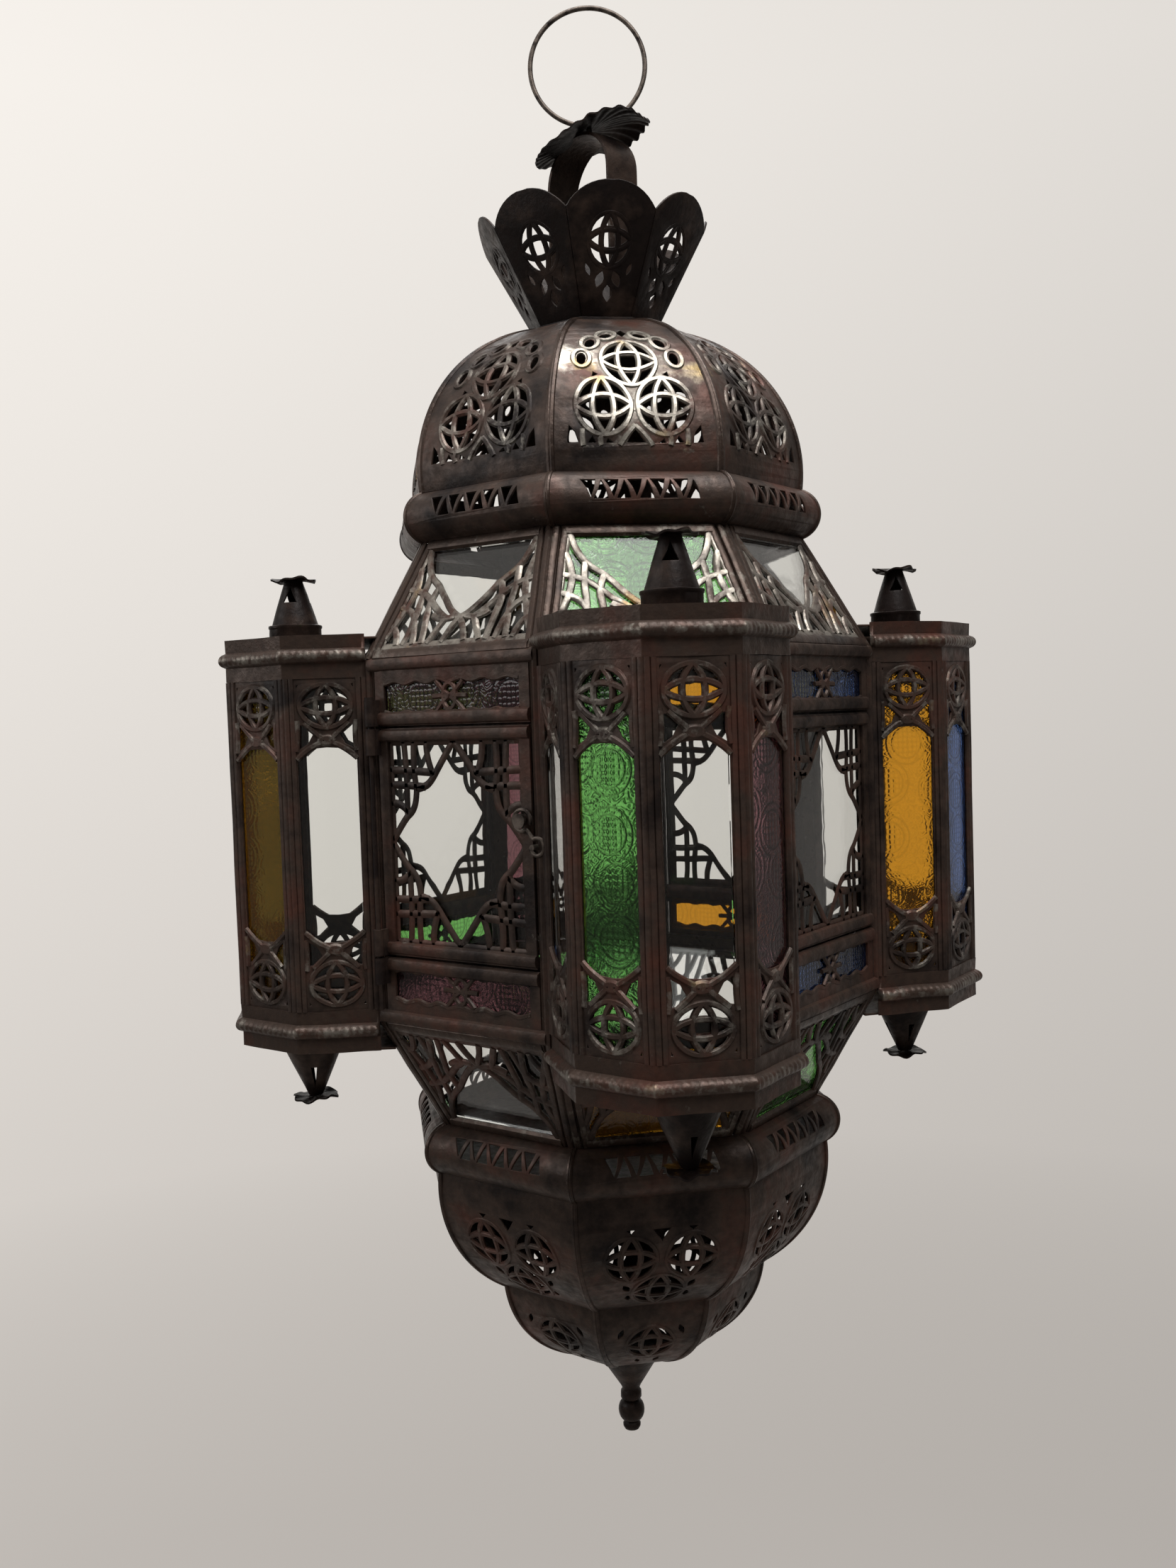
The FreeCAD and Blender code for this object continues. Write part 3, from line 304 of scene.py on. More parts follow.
def swelling(low, high, bulge):
    """Profile of a gore that swells beyond the chord between two (radius, height) points, and its length."""
    chord = math.dist(low, high)
    radius = (chord ** 2 / 4 + bulge ** 2) / (2 * bulge)
    normal = ((high[1] - low[1]) / chord, (low[0] - high[0]) / chord)
    centre = [(low[axis] + high[axis]) / 2 - normal[axis] * (radius - bulge) for axis in (0, 1)]
    start, end = (math.atan2(edge[1] - centre[1], edge[0] - centre[0]) for edge in (low, high))

    def profile(way):
        turn = start + way / radius
        across, rise = np.cos(turn), np.sin(turn)
        return centre[0] + radius * across, centre[1] + radius * rise, across, rise

    return profile, radius * (end - start)


def upright(apothem, foot=0.0):
    """Profile of an upright face."""
    return straight((apothem, foot), (apothem, foot + 1))[0]


def level(height):
    """Profile of a level plate, which is drawn outwards."""
    return lambda way: (way, height, np.zeros_like(way), 1.0)


def directions(azimuth):
    """Ways to the right along the face at an azimuth, and out of it."""
    angle = math.radians(azimuth)
    right = np.array((math.cos(angle), math.sin(angle), 0.0))
    return right, np.array((right[1], -right[0], 0.0))


def laid(azimuth, profile, lift=0.0, centre=(0.0, 0.0)):
    """Mapping that lays a flat piece on the face at an azimuth."""
    right, out = directions(azimuth)
    middle = np.array((centre[0], centre[1], FOOT))

    def mapping(points):
        radius, height, lean_out, lean_up = profile(points[:, 1])
        depth = points[:, 2] + lift
        place = np.outer(points[:, 0], right) + np.outer(radius + depth * lean_out, out)
        return (middle + place + np.outer(height + depth * lean_up, UP)) * MM

    return mapping


def all_round(profile, lift=0.0, faces=FACES):
    """Mappings that lay a flat piece on each of the faces."""
    return [laid(azimuth, profile, lift) for azimuth in faces]


def stood(azimuth, radius, foot, flip=False):
    """Mapping that stands a turned piece at an azimuth and radius, upside down where flip is set."""
    middle = radius * directions(azimuth)[1] + (foot + FOOT) * UP
    scale = np.array((1.0, -1.0, -1.0) if flip else (1.0, 1.0, 1.0))
    return lambda points: (middle + points * scale) * MM


def turret_centre(azimuth):
    """Middle of the turret at an azimuth."""
    return TURRET_AXIS * directions(azimuth)[1][:2]


def spun(*turns):
    """Rotation by turns of (degrees, axis), the last one first."""
    spin = Matrix.Identity(3)
    for degrees, axis in turns:
        spin = spin @ Matrix.Rotation(math.radians(degrees), 3, axis)
    return spin


def raised(piece, height, *turns):
    """Turn a piece about the lantern's axis and raise it to a height."""
    spin, middle = np.array(spun(*turns)), (height + FOOT) * UP
    return reshape(piece, lambda points: (points @ spin.T + middle) * MM)


def flared(points):
    """Spread the side faces of the turrets, whose points are in metres, to the corners of the body."""
    sign, plan = np.sign(points[:, :2]), np.abs(points[:, :2]) / MM
    reach = (plan[:, 0] + plan[:, 1]) * DIAGONAL
    across = (plan[:, 0] - plan[:, 1]) * DIAGONAL
    corner = TURRET * HALF_TAN
    behind = np.clip((TURRET_AXIS + corner - reach) / (2 * corner), 0.0, 1.1)
    across = across * (1 + FLARE / TURRET * behind)
    plan = np.stack((reach + across, reach - across), axis=1) * DIAGONAL
    return np.column_stack((sign * plan * MM, points[:, 2]))


# Ways to draw flat pieces
def drawn(name, curve, lines, kind):
    """Fill a curve with lines, closed where they end at their start, and turn it into a mesh piece."""
    for line in lines:
        closed = tuple(line[0]) == tuple(line[-1])
        points = line[:-1] if closed else line
        spline = curve.splines.new(kind)
        spline.points.add(len(points) - 1)
        for place, point in zip(spline.points, points):
            place.co = (*point, 0.0, 1.0)
        spline.order_u = 3
        spline.use_cyclic_u = closed
        spline.use_endpoint_u = not closed
    piece = placed(name, curve)
    select(piece)
    bpy.ops.object.convert(target="MESH")
    return clean(piece)


def pierced(name, outline, holes, thickness=None, rounding=0.5):
    """Cut a flat sheet from an outline and holes, with edges rounded by a share of its half thickness."""
    half = (thickness or size("sheet")) / 2
    curve = bpy.data.curves.new(name, "CURVE")
    curve.dimensions = "2D"
    curve.fill_mode = "BOTH"
    curve.extrude = half * (1 - rounding)
    curve.bevel_depth = half * rounding
    curve.bevel_resolution = 2
    return drawn(name, curve, [[*edge, edge[0]] for edge in (outline, *holes)], "POLY")


def strips(name, lines, width, thickness, sides=1):
    """Lay rounded strips of a width and thickness along smooth lines."""
    curve = bpy.data.curves.new(name, "CURVE")
    curve.dimensions = "3D"
    curve.bevel_depth = width / 2
    curve.bevel_resolution = sides
    curve.use_fill_caps = True
    curve.resolution_u = 4
    piece = drawn(name, curve, lines, "NURBS")
    return reshape(piece, lambda points: points * np.array((1.0, 1.0, thickness / width)))


def cut_rows(piece, axis, span, step):
    """Cut a flat piece into rows across an axis, so that it can follow a curve."""
    normal = [0.0, 0.0, 0.0]
    normal[axis] = 1.0
    select(piece)
    bpy.ops.object.mode_set(mode="EDIT")
    for place in np.arange(step, span - 0.01, step):
        bpy.ops.mesh.select_all(action="SELECT")
        bpy.ops.mesh.bisect(plane_co=[place * part for part in normal], plane_no=normal)
    bpy.ops.object.mode_set(mode="OBJECT")
    return piece


def woven_grid(name, columns, rows, mapping):
    """Shape a grid whose points run from 0 to 1 both ways."""
    bpy.ops.mesh.primitive_grid_add(x_subdivisions=columns, y_subdivisions=rows, size=1.0,
                                    location=(0.5, 0.5, 0.0))
    piece = bpy.context.active_object
    bpy.ops.object.transform_apply(location=True)
    piece.name = name
    return reshape(piece, mapping)


def along(path, way):
    """Places at a share of the way along a path of points, as one row for each axis."""
    step = way * (len(path) - 1)
    return [np.interp(step, range(len(path)), axis) for axis in np.array(path, dtype=float).T]


def polar(radius, turn, height):
    """Points at a radius, turn and height about the upright axis."""
    return np.stack((radius * np.cos(turn), radius * np.sin(turn), height), axis=1)


def turned(name, profile, segments=40):
    """Turn a profile of (radius, height) points about the upright axis."""
    def mapping(points):
        radius, height = along(profile, points[:, 1])
        return polar(radius, points[:, 0] * FULL_TURN, height)

    return clean(woven_grid(name, segments, len(profile) - 1, mapping))


def thicken(piece, thickness, offset=0.0):
    """Give a sheet its thickness."""
    select(piece)
    modifier = piece.modifiers.new("Sheet", "SOLIDIFY")
    modifier.thickness = thickness
    modifier.offset = offset
    bpy.ops.object.modifier_apply(modifier=modifier.name)
    return piece


def gore_outline(profile, span, gap=0.2, step=4.0):
    """Outline of a gore between its two seams."""
    ways = np.linspace(0.0, span, max(2, int(span / step)))
    halves = profile(ways)[0] * HALF_TAN - gap
    right = list(zip(halves, ways))
    return right + [(-half, way) for half, way in reversed(right)]


def add_seams(name, profile, span, width, lift, coat):
    """Fold the seams along both edges of all gores."""
    ways = np.linspace(0.0, span, 12)
    edge = profile(ways)[0] * HALF_TAN - width * 0.35
    flat = strips(f"{name}_seam", mirrored([list(zip(edge, ways))]), width, width * 0.7)
    finish(spread(f"{name}_seams", flat, all_round(profile, lift)), coat)


# Holes and lines
def arc_points(centre, start, end, steps=5):
    """Points along the shorter arc about a centre, without the last one."""
    first, last = (math.atan2(edge[1] - centre[1], edge[0] - centre[0]) for edge in (start, end))
    turn = (last - first + math.pi) % FULL_TURN - math.pi
    radius = math.dist(centre, start)
    angles = [first + turn * step / steps for step in range(steps)]
    return [(centre[0] + radius * math.cos(a), centre[1] + radius * math.sin(a)) for a in angles]


def rotated(points, turn):
    """Turn points about the origin."""
    cosine, sine = math.cos(turn), math.sin(turn)
    return [(x * cosine - y * sine, x * sine + y * cosine) for x, y in points]


def quarters(points):
    """A line turned to all four quarters."""
    return [rotated(points, quarter * math.pi / 2) for quarter in range(4)]


def laced_circle(radius, strip):
    """Holes and middle lines of a circle that is crossed by an upright and a level lens of strip."""
    swell = radius * LENS
    lens = (radius ** 2 + swell ** 2) / (2 * swell)
    shift = lens - swell
    inner, outer, rim = lens - strip / 2, lens + strip / 2, radius - strip / 2
    top, right, low = (0.0, -shift), (-shift, 0.0), (0.0, shift)
    corner, inside = ((math.sqrt(2 * edge ** 2 - shift ** 2) - shift) / 2 for edge in (inner, outer))
    middle = arc_points(top, (corner, corner), (-corner, corner), 4)
    slip = (outer ** 2 - inner ** 2) / (2 * shift)
    rise = (math.sqrt((slip + shift) ** 2 - 2 * (slip ** 2 + shift ** 2 - inner ** 2)) - slip - shift) / 2
    tip, upper, lower = (math.sqrt(inner ** 2 - shift ** 2), 0.0), (rise + slip, rise), (rise + slip, -rise)
    end = arc_points(top, tip, upper) + arc_points(right, upper, lower, 3) + arc_points(low, lower, tip)
    drop = (outer ** 2 - shift ** 2 - rim ** 2) / (2 * shift)
    east = (math.sqrt(rim ** 2 - drop ** 2), drop)
    north = (east[1], east[0])
    side = (arc_points(top, (inside, inside), east) + arc_points((0.0, 0.0), east, north, 4)
            + arc_points(right, north, (inside, inside)))
    holes = [sum(quarters(middle), [])]
    for pair in zip(quarters(end), quarters(side)):
        holes += pair
    bow = arc_points(top, (radius, 0.0), (-radius, 0.0), 8) + [(-radius, 0.0)]
    return holes, quarters(bow) + [oval(0.0, 0.0, 2 * radius, 2 * radius)]


def laced_circles(centres, radius, strip, stretch=1.0):
    """Holes and middle lines of laced circles at some centres, stretched upwards."""
    return [[[(x + east, y * stretch + up) for x, y in line] for east, up in centres for line in lines]
            for lines in laced_circle(radius, strip)]


def oval(x, y, wide, tall, turn=0.0, steps=18):
    """A closed oval line."""
    angles = [FULL_TURN * step / steps for step in range(steps)]
    points = rotated([(wide / 2 * math.cos(a), tall / 2 * math.sin(a)) for a in angles], math.radians(turn))
    points = [(x + a, y + b) for a, b in points]
    return points + points[:1]


def almond(x, y, wide, tall, turn=0.0, steps=5):
    """A hole with two pointed ends."""
    ways = [step / steps for step in range(steps)]
    right = [(wide / 2 * math.sin(math.pi * way), tall * (way - 0.5)) for way in ways]
    points = rotated(right + [(-a, -b) for a, b in right], math.radians(turn))
    return [(x + a, y + b) for a, b in points]


def zigzag(reach, low, high, count, strip):
    """A row of upright and hanging wedges."""
    pitch = 2 * reach / count
    half, bend, middle = pitch - strip, 0.12 * pitch, (low + high) / 2
    wedges = []
    for index in range(count):
        x = -reach + pitch * (index + 0.5)
        base, tip = (low, high) if index % 2 else (high, low)
        wedges.append([(x - half, base), (x + half, base), (x + half * 0.5 + bend, middle), (x + bend, tip),
                       (x - half * 0.5 + bend, middle)])
    return wedges


def both_sides(holes):
    """Holes on both sides of the middle line."""
    return holes + [[(-x, y) for x, y in reversed(hole)] for hole in holes]


def mirrored(lines):
    """Lines on both sides of the middle line."""
    return lines + [[(-x, y) for x, y in line] for line in lines]


def upended(lines, tall):
    """Lines turned head over heels on a face of a height."""
    return [[(x, tall - y) for x, y in line] for line in lines]


# Materials
class Nodes:
    """The node tree of a material or world, with short calls for the nodes that are used often."""

    def __init__(self, tree):
        self.tree = tree
        self.shader = tree.nodes.get("Principled BSDF")
        coordinates = tree.nodes.new("ShaderNodeTexCoord").outputs
        self.place, self.toward = coordinates["Object"], coordinates["Generated"]

    def feed(self, node, inputs):
        """Link or set inputs of a node."""
        for key, source in dict(inputs).items():
            if isinstance(source, bpy.types.NodeSocket):
                self.tree.links.new(source, node.inputs[key])
            else:
                node.inputs[key].default_value = source

    def add(self, kind, output, inputs=(), **settings):
        """Add a node with its settings and inputs, and give one of its outputs."""
        node = self.tree.nodes.new(f"ShaderNode{kind}")
        for key, setting in settings.items():
            setattr(node, key, setting)
        self.feed(node, inputs)
        return node.outputs[output]

    def math(self, operation, first, second):
        return self.add("Math", "Value", {0: first, 1: second}, operation=operation)

    def vector(self, operation, first, second=(0.0, 0.0, 0.0), output="Vector"):
        return self.add("VectorMath", output, {0: first, 1: second}, operation=operation)

    def mix(self, factor, first, second, data_type="RGBA", blend_type="MIX"):
        inputs = {"Factor": factor, "A": first, "B": second}
        return self.add("Mix", "Result", inputs, data_type=data_type, blend_type=blend_type)

    def fit(self, source, low, high, bottom, top):
        """Map a span of values to another span."""
        inputs = {"Value": source, "From Min": low, "From Max": high, "To Min": bottom, "To Max": top}
        return self.add("MapRange", "Result", inputs)

    def ramp(self, source, stops):
        """Colours along a ramp."""
        shade = self.add("ValToRGB", "Color", {"Fac": source})
        elements = shade.node.color_ramp.elements
        while len(elements) < len(stops):
            elements.new(0.5)
        for element, (position, tone) in zip(elements, stops):
            element.position = position
            element.color = tone
        return shade

    def blotches(self, millimetres, detail=4.0, roughness=0.55, place=None):
        """Noise whose blotches are about so many millimetres wide."""
        return self.add("TexNoise", "Fac", {"Vector": place or self.place, "Scale": 1 / (millimetres * MM),
                                            "Detail": detail, "Roughness": roughness})

    def cells(self, millimetres, randomness, place):
        """Distance to the middles of cells that are about so many millimetres wide."""
        return self.add("TexVoronoi", "Distance", {"Vector": place, "Scale": 1 / (millimetres * MM),
                                                   "Randomness": randomness}, voronoi_dimensions="2D")

    def height(self, vector):
        return self.add("SeparateXYZ", "Z", {"Vector": vector})

    def attribute(self, name):
        return self.add("Attribute", "Fac", attribute_name=name)

    def bump(self, strength, millimetres, height):
        inputs = {"Strength": strength, "Distance": millimetres * MM, "Height": height}
        return self.add("Bump", "Normal", inputs)

    def coat(self, inputs):
        """Link or set inputs of the Principled shader."""
        self.feed(self.shader, inputs)


def new_material(name):
    """Start a material and give its nodes."""
    material = bpy.data.materials.new(name)
    material.use_nodes = True
    return Nodes(material.node_tree)


def tin_plate(name, tones, wear_and_sheen, metallic, rough, gleam=0.3):
    """Tin plate under a blotched patina of three tones, scuffed to dull silver, partly by hands and solder
    and partly as painted highlight.
    """
    nodes = new_material(name)
    blotch = nodes.blotches(30.0, 6.0, 0.62)
    speck = nodes.blotches(4.0, 5.0)
    scuff = nodes.blotches(8.0, 6.0, 0.7)
    ground = nodes.ramp(blotch, [(stop, paint(tone)) for stop, tone in zip((0.35, 0.5, 0.68), tones)])
    ground = nodes.mix(1.0, ground, nodes.fit(speck, 0.35, 0.7, 1.2, 0.75), blend_type="MULTIPLY")
    # Raised edges turn silver: partly scuffing, partly painted highlight where they would catch the light
    edge_wear_and_highlight = nodes.fit(nodes.add("NewGeometry", "Pointiness"), 0.51, 0.6, 0.0, 0.13)
    worn_and_sheen = nodes.math("ADD", nodes.math("ADD", nodes.attribute("wear_and_sheen"), wear_and_sheen), edge_wear_and_highlight)
    bare_and_highlit = nodes.fit(nodes.math("ADD", scuff, worn_and_sheen), 0.86, 1.14, 0.0, 0.9)
    flux = nodes.math("MAXIMUM", nodes.fit(blotch, 0.6, 0.68, 0.0, 0.75), nodes.attribute("flux"))
    silver = nodes.mix(flux, paint("bare_and_highlit"), paint("solder"))
    grain = nodes.fit(speck, 0.3, 0.7, rough - 0.1, rough + 0.14)
    nodes.coat({"Base Color": nodes.mix(bare_and_highlit, ground, silver),
                "Metallic": nodes.fit(bare_and_highlit, 0.0, 1.0, metallic, 0.95),
                "Specular IOR Level": gleam,
                "Roughness": nodes.mix(bare_and_highlit, grain, 0.34, "FLOAT"),
                "Normal": nodes.bump(0.35, 0.6, nodes.blotches(2.2))})


def iron_wire(name):
    """Drawn iron wire: dull grey brown, with fine streaks."""
    nodes = new_material(name)
    streak = nodes.blotches(4.0, 5.0)
    nodes.coat({"Base Color": nodes.ramp(streak, [(0.3, paint("shadow")), (0.6, paint("wire"))]),
                "Metallic": 0.75,
                "Roughness": nodes.fit(streak, 0.3, 0.7, 0.38, 0.6),
                "Normal": nodes.bump(0.2, 0.3, streak)})


def window_glass(name):
    """Clear window glass: faintly wavy, with a film of dust."""
    nodes = new_material(name)
    nodes.coat({"Base Color": paint("clear"), "Transmission Weight": 1.0, "IOR": 1.45,
                "Roughness": nodes.fit(nodes.blotches(30.0, 5.0), 0.4, 0.75, 0.0, 0.03),
                "Normal": nodes.bump(0.08, 1.0, nodes.blotches(22.0, 2.0))})


def pane_plane(nodes):
    """Places across and up the upright or sloping pane that a point is on."""
    normal = nodes.add("VectorTransform", "Vector", {"Vector": nodes.add("NewGeometry", "True Normal")},
                       vector_type="NORMAL", convert_from="WORLD", convert_to="OBJECT")
    along_pane = nodes.vector("NORMALIZE", nodes.vector("CROSS_PRODUCT", tuple(UP), normal))
    across = nodes.vector("DOT_PRODUCT", nodes.place, along_pane, "Value")
    return nodes.add("CombineXYZ", "Vector", {"X": across, "Y": nodes.height(nodes.place)})


def pressed_glass(name, tint, clarity):
    """Pressed coloured glass: ringed medallions 23 mm apart, filled with dots, and leaves between them.

    The hollows of the pattern, which is on the outer side of the pane, let through a share of the light,
    which is the clarity.
    """
    nodes = new_material(name)
    full = paint(tint)
    deep = (*(clarity * channel for channel in full[:3]), 1.0)
    flat = pane_plane(nodes)
    cell = nodes.cells(MEDALLION, 0.45, flat)
    dots = nodes.fit(nodes.cells(2.3, 0.15, flat), 0.25, 0.5, 0.0, 1.0)
    veins = nodes.math("PINGPONG", nodes.blotches(5.0, 1.0, place=flat), 0.07)
    leaves = nodes.fit(veins, 0.005, 0.05, 1.0, 0.0)
    relief = nodes.mix(nodes.fit(cell, 0.27, 0.28, 1.0, 0.0), leaves, dots, "FLOAT")
    stops = ((0.27, 1.0), (0.31, 0.0), (0.34, 1.0), (0.39, 1.0), (0.43, 0.0), (0.46, 1.0))
    rings = nodes.ramp(cell, [(stop, (light, light, light, 1.0)) for stop, light in stops])
    light = nodes.math("MULTIPLY", rings, nodes.fit(relief, 0.0, 1.0, 1.0, 0.35))
    shade = nodes.mix(nodes.add("NewGeometry", "Backfacing"), nodes.mix(light, deep, full), full)
    nodes.coat({"Base Color": shade, "Transmission Weight": 0.95, "IOR": 1.5, "Specular IOR Level": 0.2,
                "Roughness": 0.06, "Normal": nodes.bump(0.1, 0.5, light)})


# Steps of the work
class Step:
    """A step that builds some of the lantern's pieces."""

    def execute(self, context):
        self.build()
        return {"FINISHED"}


class LANTERN_OT_finishes(Step, bpy.types.Operator):
    """Mix the metal and glass finishes of the lantern"""

    bl_idname = "lantern.finishes"
    bl_label = "Finishes"

    def build(self):
        tin_plate(PATINATED, ("shadow", "patina", "rust"), 0.1, 0.35, 0.44)
        tin_plate(BLACKENED, ("shadow", "shadow", "patina"), 0.04, 0.1, 0.42, 0.15)
        tin_plate(WORN, ("shadow", "patina", "patina"), 0.14, 0.5, 0.34)
        tin_plate(RUSTED, ("patina", "patina", "rust"), 0.12, 0.4, 0.38)
        iron_wire(WIRE)
        window_glass(CLEAR)
        for tint, clarity in zip(TINTS, (0.2, 0.7, 0.2, 0.25)):
            pressed_glass(COATS[f"{tint}_glass"], tint, clarity)


class LANTERN_OT_frame_nodes(Step, bpy.types.Operator):
    """Coat the CAD pieces that keep showing"""

    bl_idname = "lantern.frame_nodes"
    bl_label = "Frame and glass"

    def build(self):
        for part in frame["record"]["subparts"]:
            mesh = frame["nodes"][part["node"]].data
            mesh.materials.clear()
            coat = BLACKENED if part["node"] in HINGE else COATS[part["material_slot"]]
            mesh.materials.append(bpy.data.materials[coat])


class LANTERN_OT_ring(Step, bpy.types.Operator):
    """Bend the loose wire ring"""

    bl_idname = "lantern.ring"
    bl_label = "Hanging ring"

    def build(self):
        low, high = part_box("hanging_ring")
        bpy.ops.mesh.primitive_torus_add(
            major_radius=RING * MM, minor_radius=RING_WIRE * MM, major_segments=96, minor_segments=12,
            location=(0, 0, (low.z + high.z) / 2), rotation=(math.radians(90), 0, math.radians(RING_TURN)))
        ring = bpy.context.active_object
        ring.name = "hanging_ring_wire"
        bpy.ops.object.transform_apply(location=True, rotation=True)
        finish(hammer(ring, 0.5, 40.0), WIRE, "ring", ("hanging_ring",))


class LANTERN_OT_handle(Step, bpy.types.Operator):
    """Bend the strap handle and pleat the cap on it"""

    bl_idname = "lantern.handle"
    bl_label = "Handle and cap"

    def build(self):
        self.strap()
        self.cap()

    def strap(self):
        half, spring, rise, width, gauge, crown = 21.25, 68.0, 19.3, 17.0, 1.4, 0.5
        leg = [(half, spring), (half, spring / 2), (half, 0.0)]
        bend = [(half * -math.cos(turn), spring + rise * math.sin(turn))
                for turn in np.linspace(0, math.pi, 25)[1:-1]]
        path = [(-x, y) for x, y in reversed(leg)] + bend + leg

        def mapping(points):
            x, y = along(path, points[:, 0])
            swell = crown * (1 - (2 * points[:, 1] - 1) ** 2)
            return np.stack((x, (points[:, 1] - 0.5) * width, y + swell), axis=1)

        strap = thicken(woven_grid("handle_strap", len(path) - 1, 4, mapping), gauge)
        hammer(raised(strap, NECK_TOP, (HANDLE_TURN, "Z")), 0.3)
        finish(strap, WORN, stands_for=("handle_arch",))

    def cap(self):
        radius, pleats, gauge, tilt, gap = size("cap"), 27, 0.7, -25, 2.4

        def mapping(points):
            turn, way = points[:, 0] * FULL_TURN, points[:, 1]
            crimp = np.sin(pleats * turn + 1.2 * np.sin(2 * turn)) * (0.6 + 0.4 * np.cos(turn))
            rim = radius * (1.05 - 0.05 * np.cos(turn) + 0.03 * np.sin(5 * turn + 0.7)) * way
            bent = np.maximum(np.cos(turn), 0.0)
            droop = (0.8 * crimp - 0.6) * way ** 2 + bent * (1.6 * np.sin(4 * turn + 0.5) - 8.0) * way ** 3
            depth = 0.8 + 0.2 * np.cos(turn)
            return np.stack((rim * np.cos(turn), depth * rim * np.sin(turn), droop), axis=1)

        cap = thicken(clean(woven_grid("pleated_cap_sheet", 162, 8, mapping)), gauge)
        hammer(raised(cap, STRAP_TOP + gap, (RING_TURN, "Z"), (tilt, "Y")), 0.5, 9.0)
        finish(cap, BLACKENED, stands_for=("pleated_cap",))


class LANTERN_OT_crown(Step, bpy.types.Operator):
    """Cut the eight pierced petals of the crown"""

    bl_idname = "lantern.crown"
    bl_label = "Crown"

    def build(self):
        profile, span = straight(*CROWN)
        foot, rim = (edge[0] * HALF_TAN - 0.15 for edge in CROWN)
        strip, head = size("strip"), span + 10.9
        arch = arc_points((0.0, span - 10.8), (rim, span), (0.0, head), 8)
        outline = [(-foot, 0.0), (foot, 0.0), *arch, (0.0, head), *((-x, y) for x, y in reversed(arch))]
        holes, lines = laced_circles([(0.0, span - 13.0)], 9.8, strip * 0.75, 1.16)
        holes += both_sides([almond(3.6, span - 29.0, 4.2, 8.0, 20)]) + [almond(0.0, span - 35.0, 4.6, 8.0)]
        holes += both_sides([almond(9.0, span - 25.0, 2.4, 6.4, -24)])
        sheet = pierced("crown_petal", outline, holes)
        laces = strips("crown_lace", lines, strip * 0.7, 1.5)
        petal = joined("crown_petal_flat", [sheet, laces])
        crown = spread("crown_pierced_petals", petal, all_round(profile, 0.5), wears_and_sheen(0.14, face=315))
        finish(hammer(crown, 0.4, 20.0), BLACKENED, stands_for=("crown_petals",))


class LANTERN_OT_dome(Step, bpy.types.Operator):
    """Cut and bend the eight pierced gores of the dome"""

    bl_idname = "lantern.dome"
    bl_label = "Dome"

    def build(self):
        profile, span = swelling(*DOME, DOME_BULGE)
        strip = size("strip")
        circles = ((0.0, 48.8), (-12.6, 27.0), (12.6, 27.0))
        eyes = ((19.2, 50.5, 4.2, 7.6, 8), (14.6, 60.6, 4.2, 7.0, 28), (7.0, 66.4, 4.0, 6.4, 58))
        holes, lines = laced_circles(circles, 11.5, strip * 0.8, 1.12)
        holes += [[(-4.4, 11.2), (4.4, 11.2), (0.0, 17.6)],
                  [(-2.6, 69.0), (0.0, 65.6), (2.6, 69.0), (0.0, 72.4)]]
        holes += both_sides([oval(*eye, 10)[:-1] for eye in eyes])
        holes += both_sides([
            [(13.0, 41.6), (15.6, 43.4), (16.4, 39.8)], [(8.4, 11.0), (12.6, 11.0), (11.6, 13.2)],
            [(15.8, 11.0), (20.2, 11.0), (17.8, 14.4)],
            [(23.0, 11.0), (28.2, 11.0), (27.2, 19.0), (24.6, 16.0)],
        ])
        sheet = pierced("dome_gore", gore_outline(profile, span), holes)
        lines += mirrored([oval(x, y, wide + 2.6, tall + 2.6, turn) for x, y, wide, tall, turn in eyes] + [
            [(0.0, 18.4), (4.4, 14.4), (6.6, 10.2)], [(14.0, 14.4), (15.0, 12.4), (14.2, 10.2)],
            [(21.6, 17.0), (22.0, 13.4), (21.4, 10.2)],
        ])
        laces = lifted(strips("dome_lace", lines, strip, 1.8), 0.35)
        add_to_layer(laces, 0.17)
        gore = cut_rows(joined("dome_gore_flat", [sheet, laces]), 1, span, 4.0)
        dome = spread("dome_pierced_gores", gore, all_round(profile, -0.5), wears_and_sheen(self.rubbing_and_highlight))
        self.spill(dome, laid(SCOURED_AND_HIGHLIT, profile)(np.array([[30.0, 44.0, 0.0]])))
        hammer(dome, size("dents"), 10.0)
        finish(dome, PATINATED, stands_for=("dome_gores",))
        add_seams("dome", profile, span, 2.2, 0.1, WORN)

    def spill(self, dome, spot):
        """Spill solder and its flux round a spot of the dome."""
        spill = np.exp(-(np.linalg.norm(points_of(dome) - spot, axis=1) / (7.0 * MM)) ** 2)
        add_to_layer(dome, 0.45 * spill)
        add_to_layer(dome, spill, "flux")

    def rubbing_and_highlight(self, points):
        """Scuffing of the gore that was scoured and soldered again, on its lattice, one shoulder and its
        foot; on the lattice and the shoulder it is also painted highlight.
        """
        across, up = points[:, 0], points[:, 1]
        lattice = np.exp(-((across / 23.0) ** 2 + ((up - 44.0) / 34.0) ** 2) ** 2)
        shoulder = np.exp(-((across + 27.0) / 9.0) ** 2 - ((up - 51.0) / 12.0) ** 2)
        foot = np.exp(-((up - 9.0) / 4.0) ** 2)
        return 0.36 * lattice + 0.55 * shoulder + 0.16 * foot


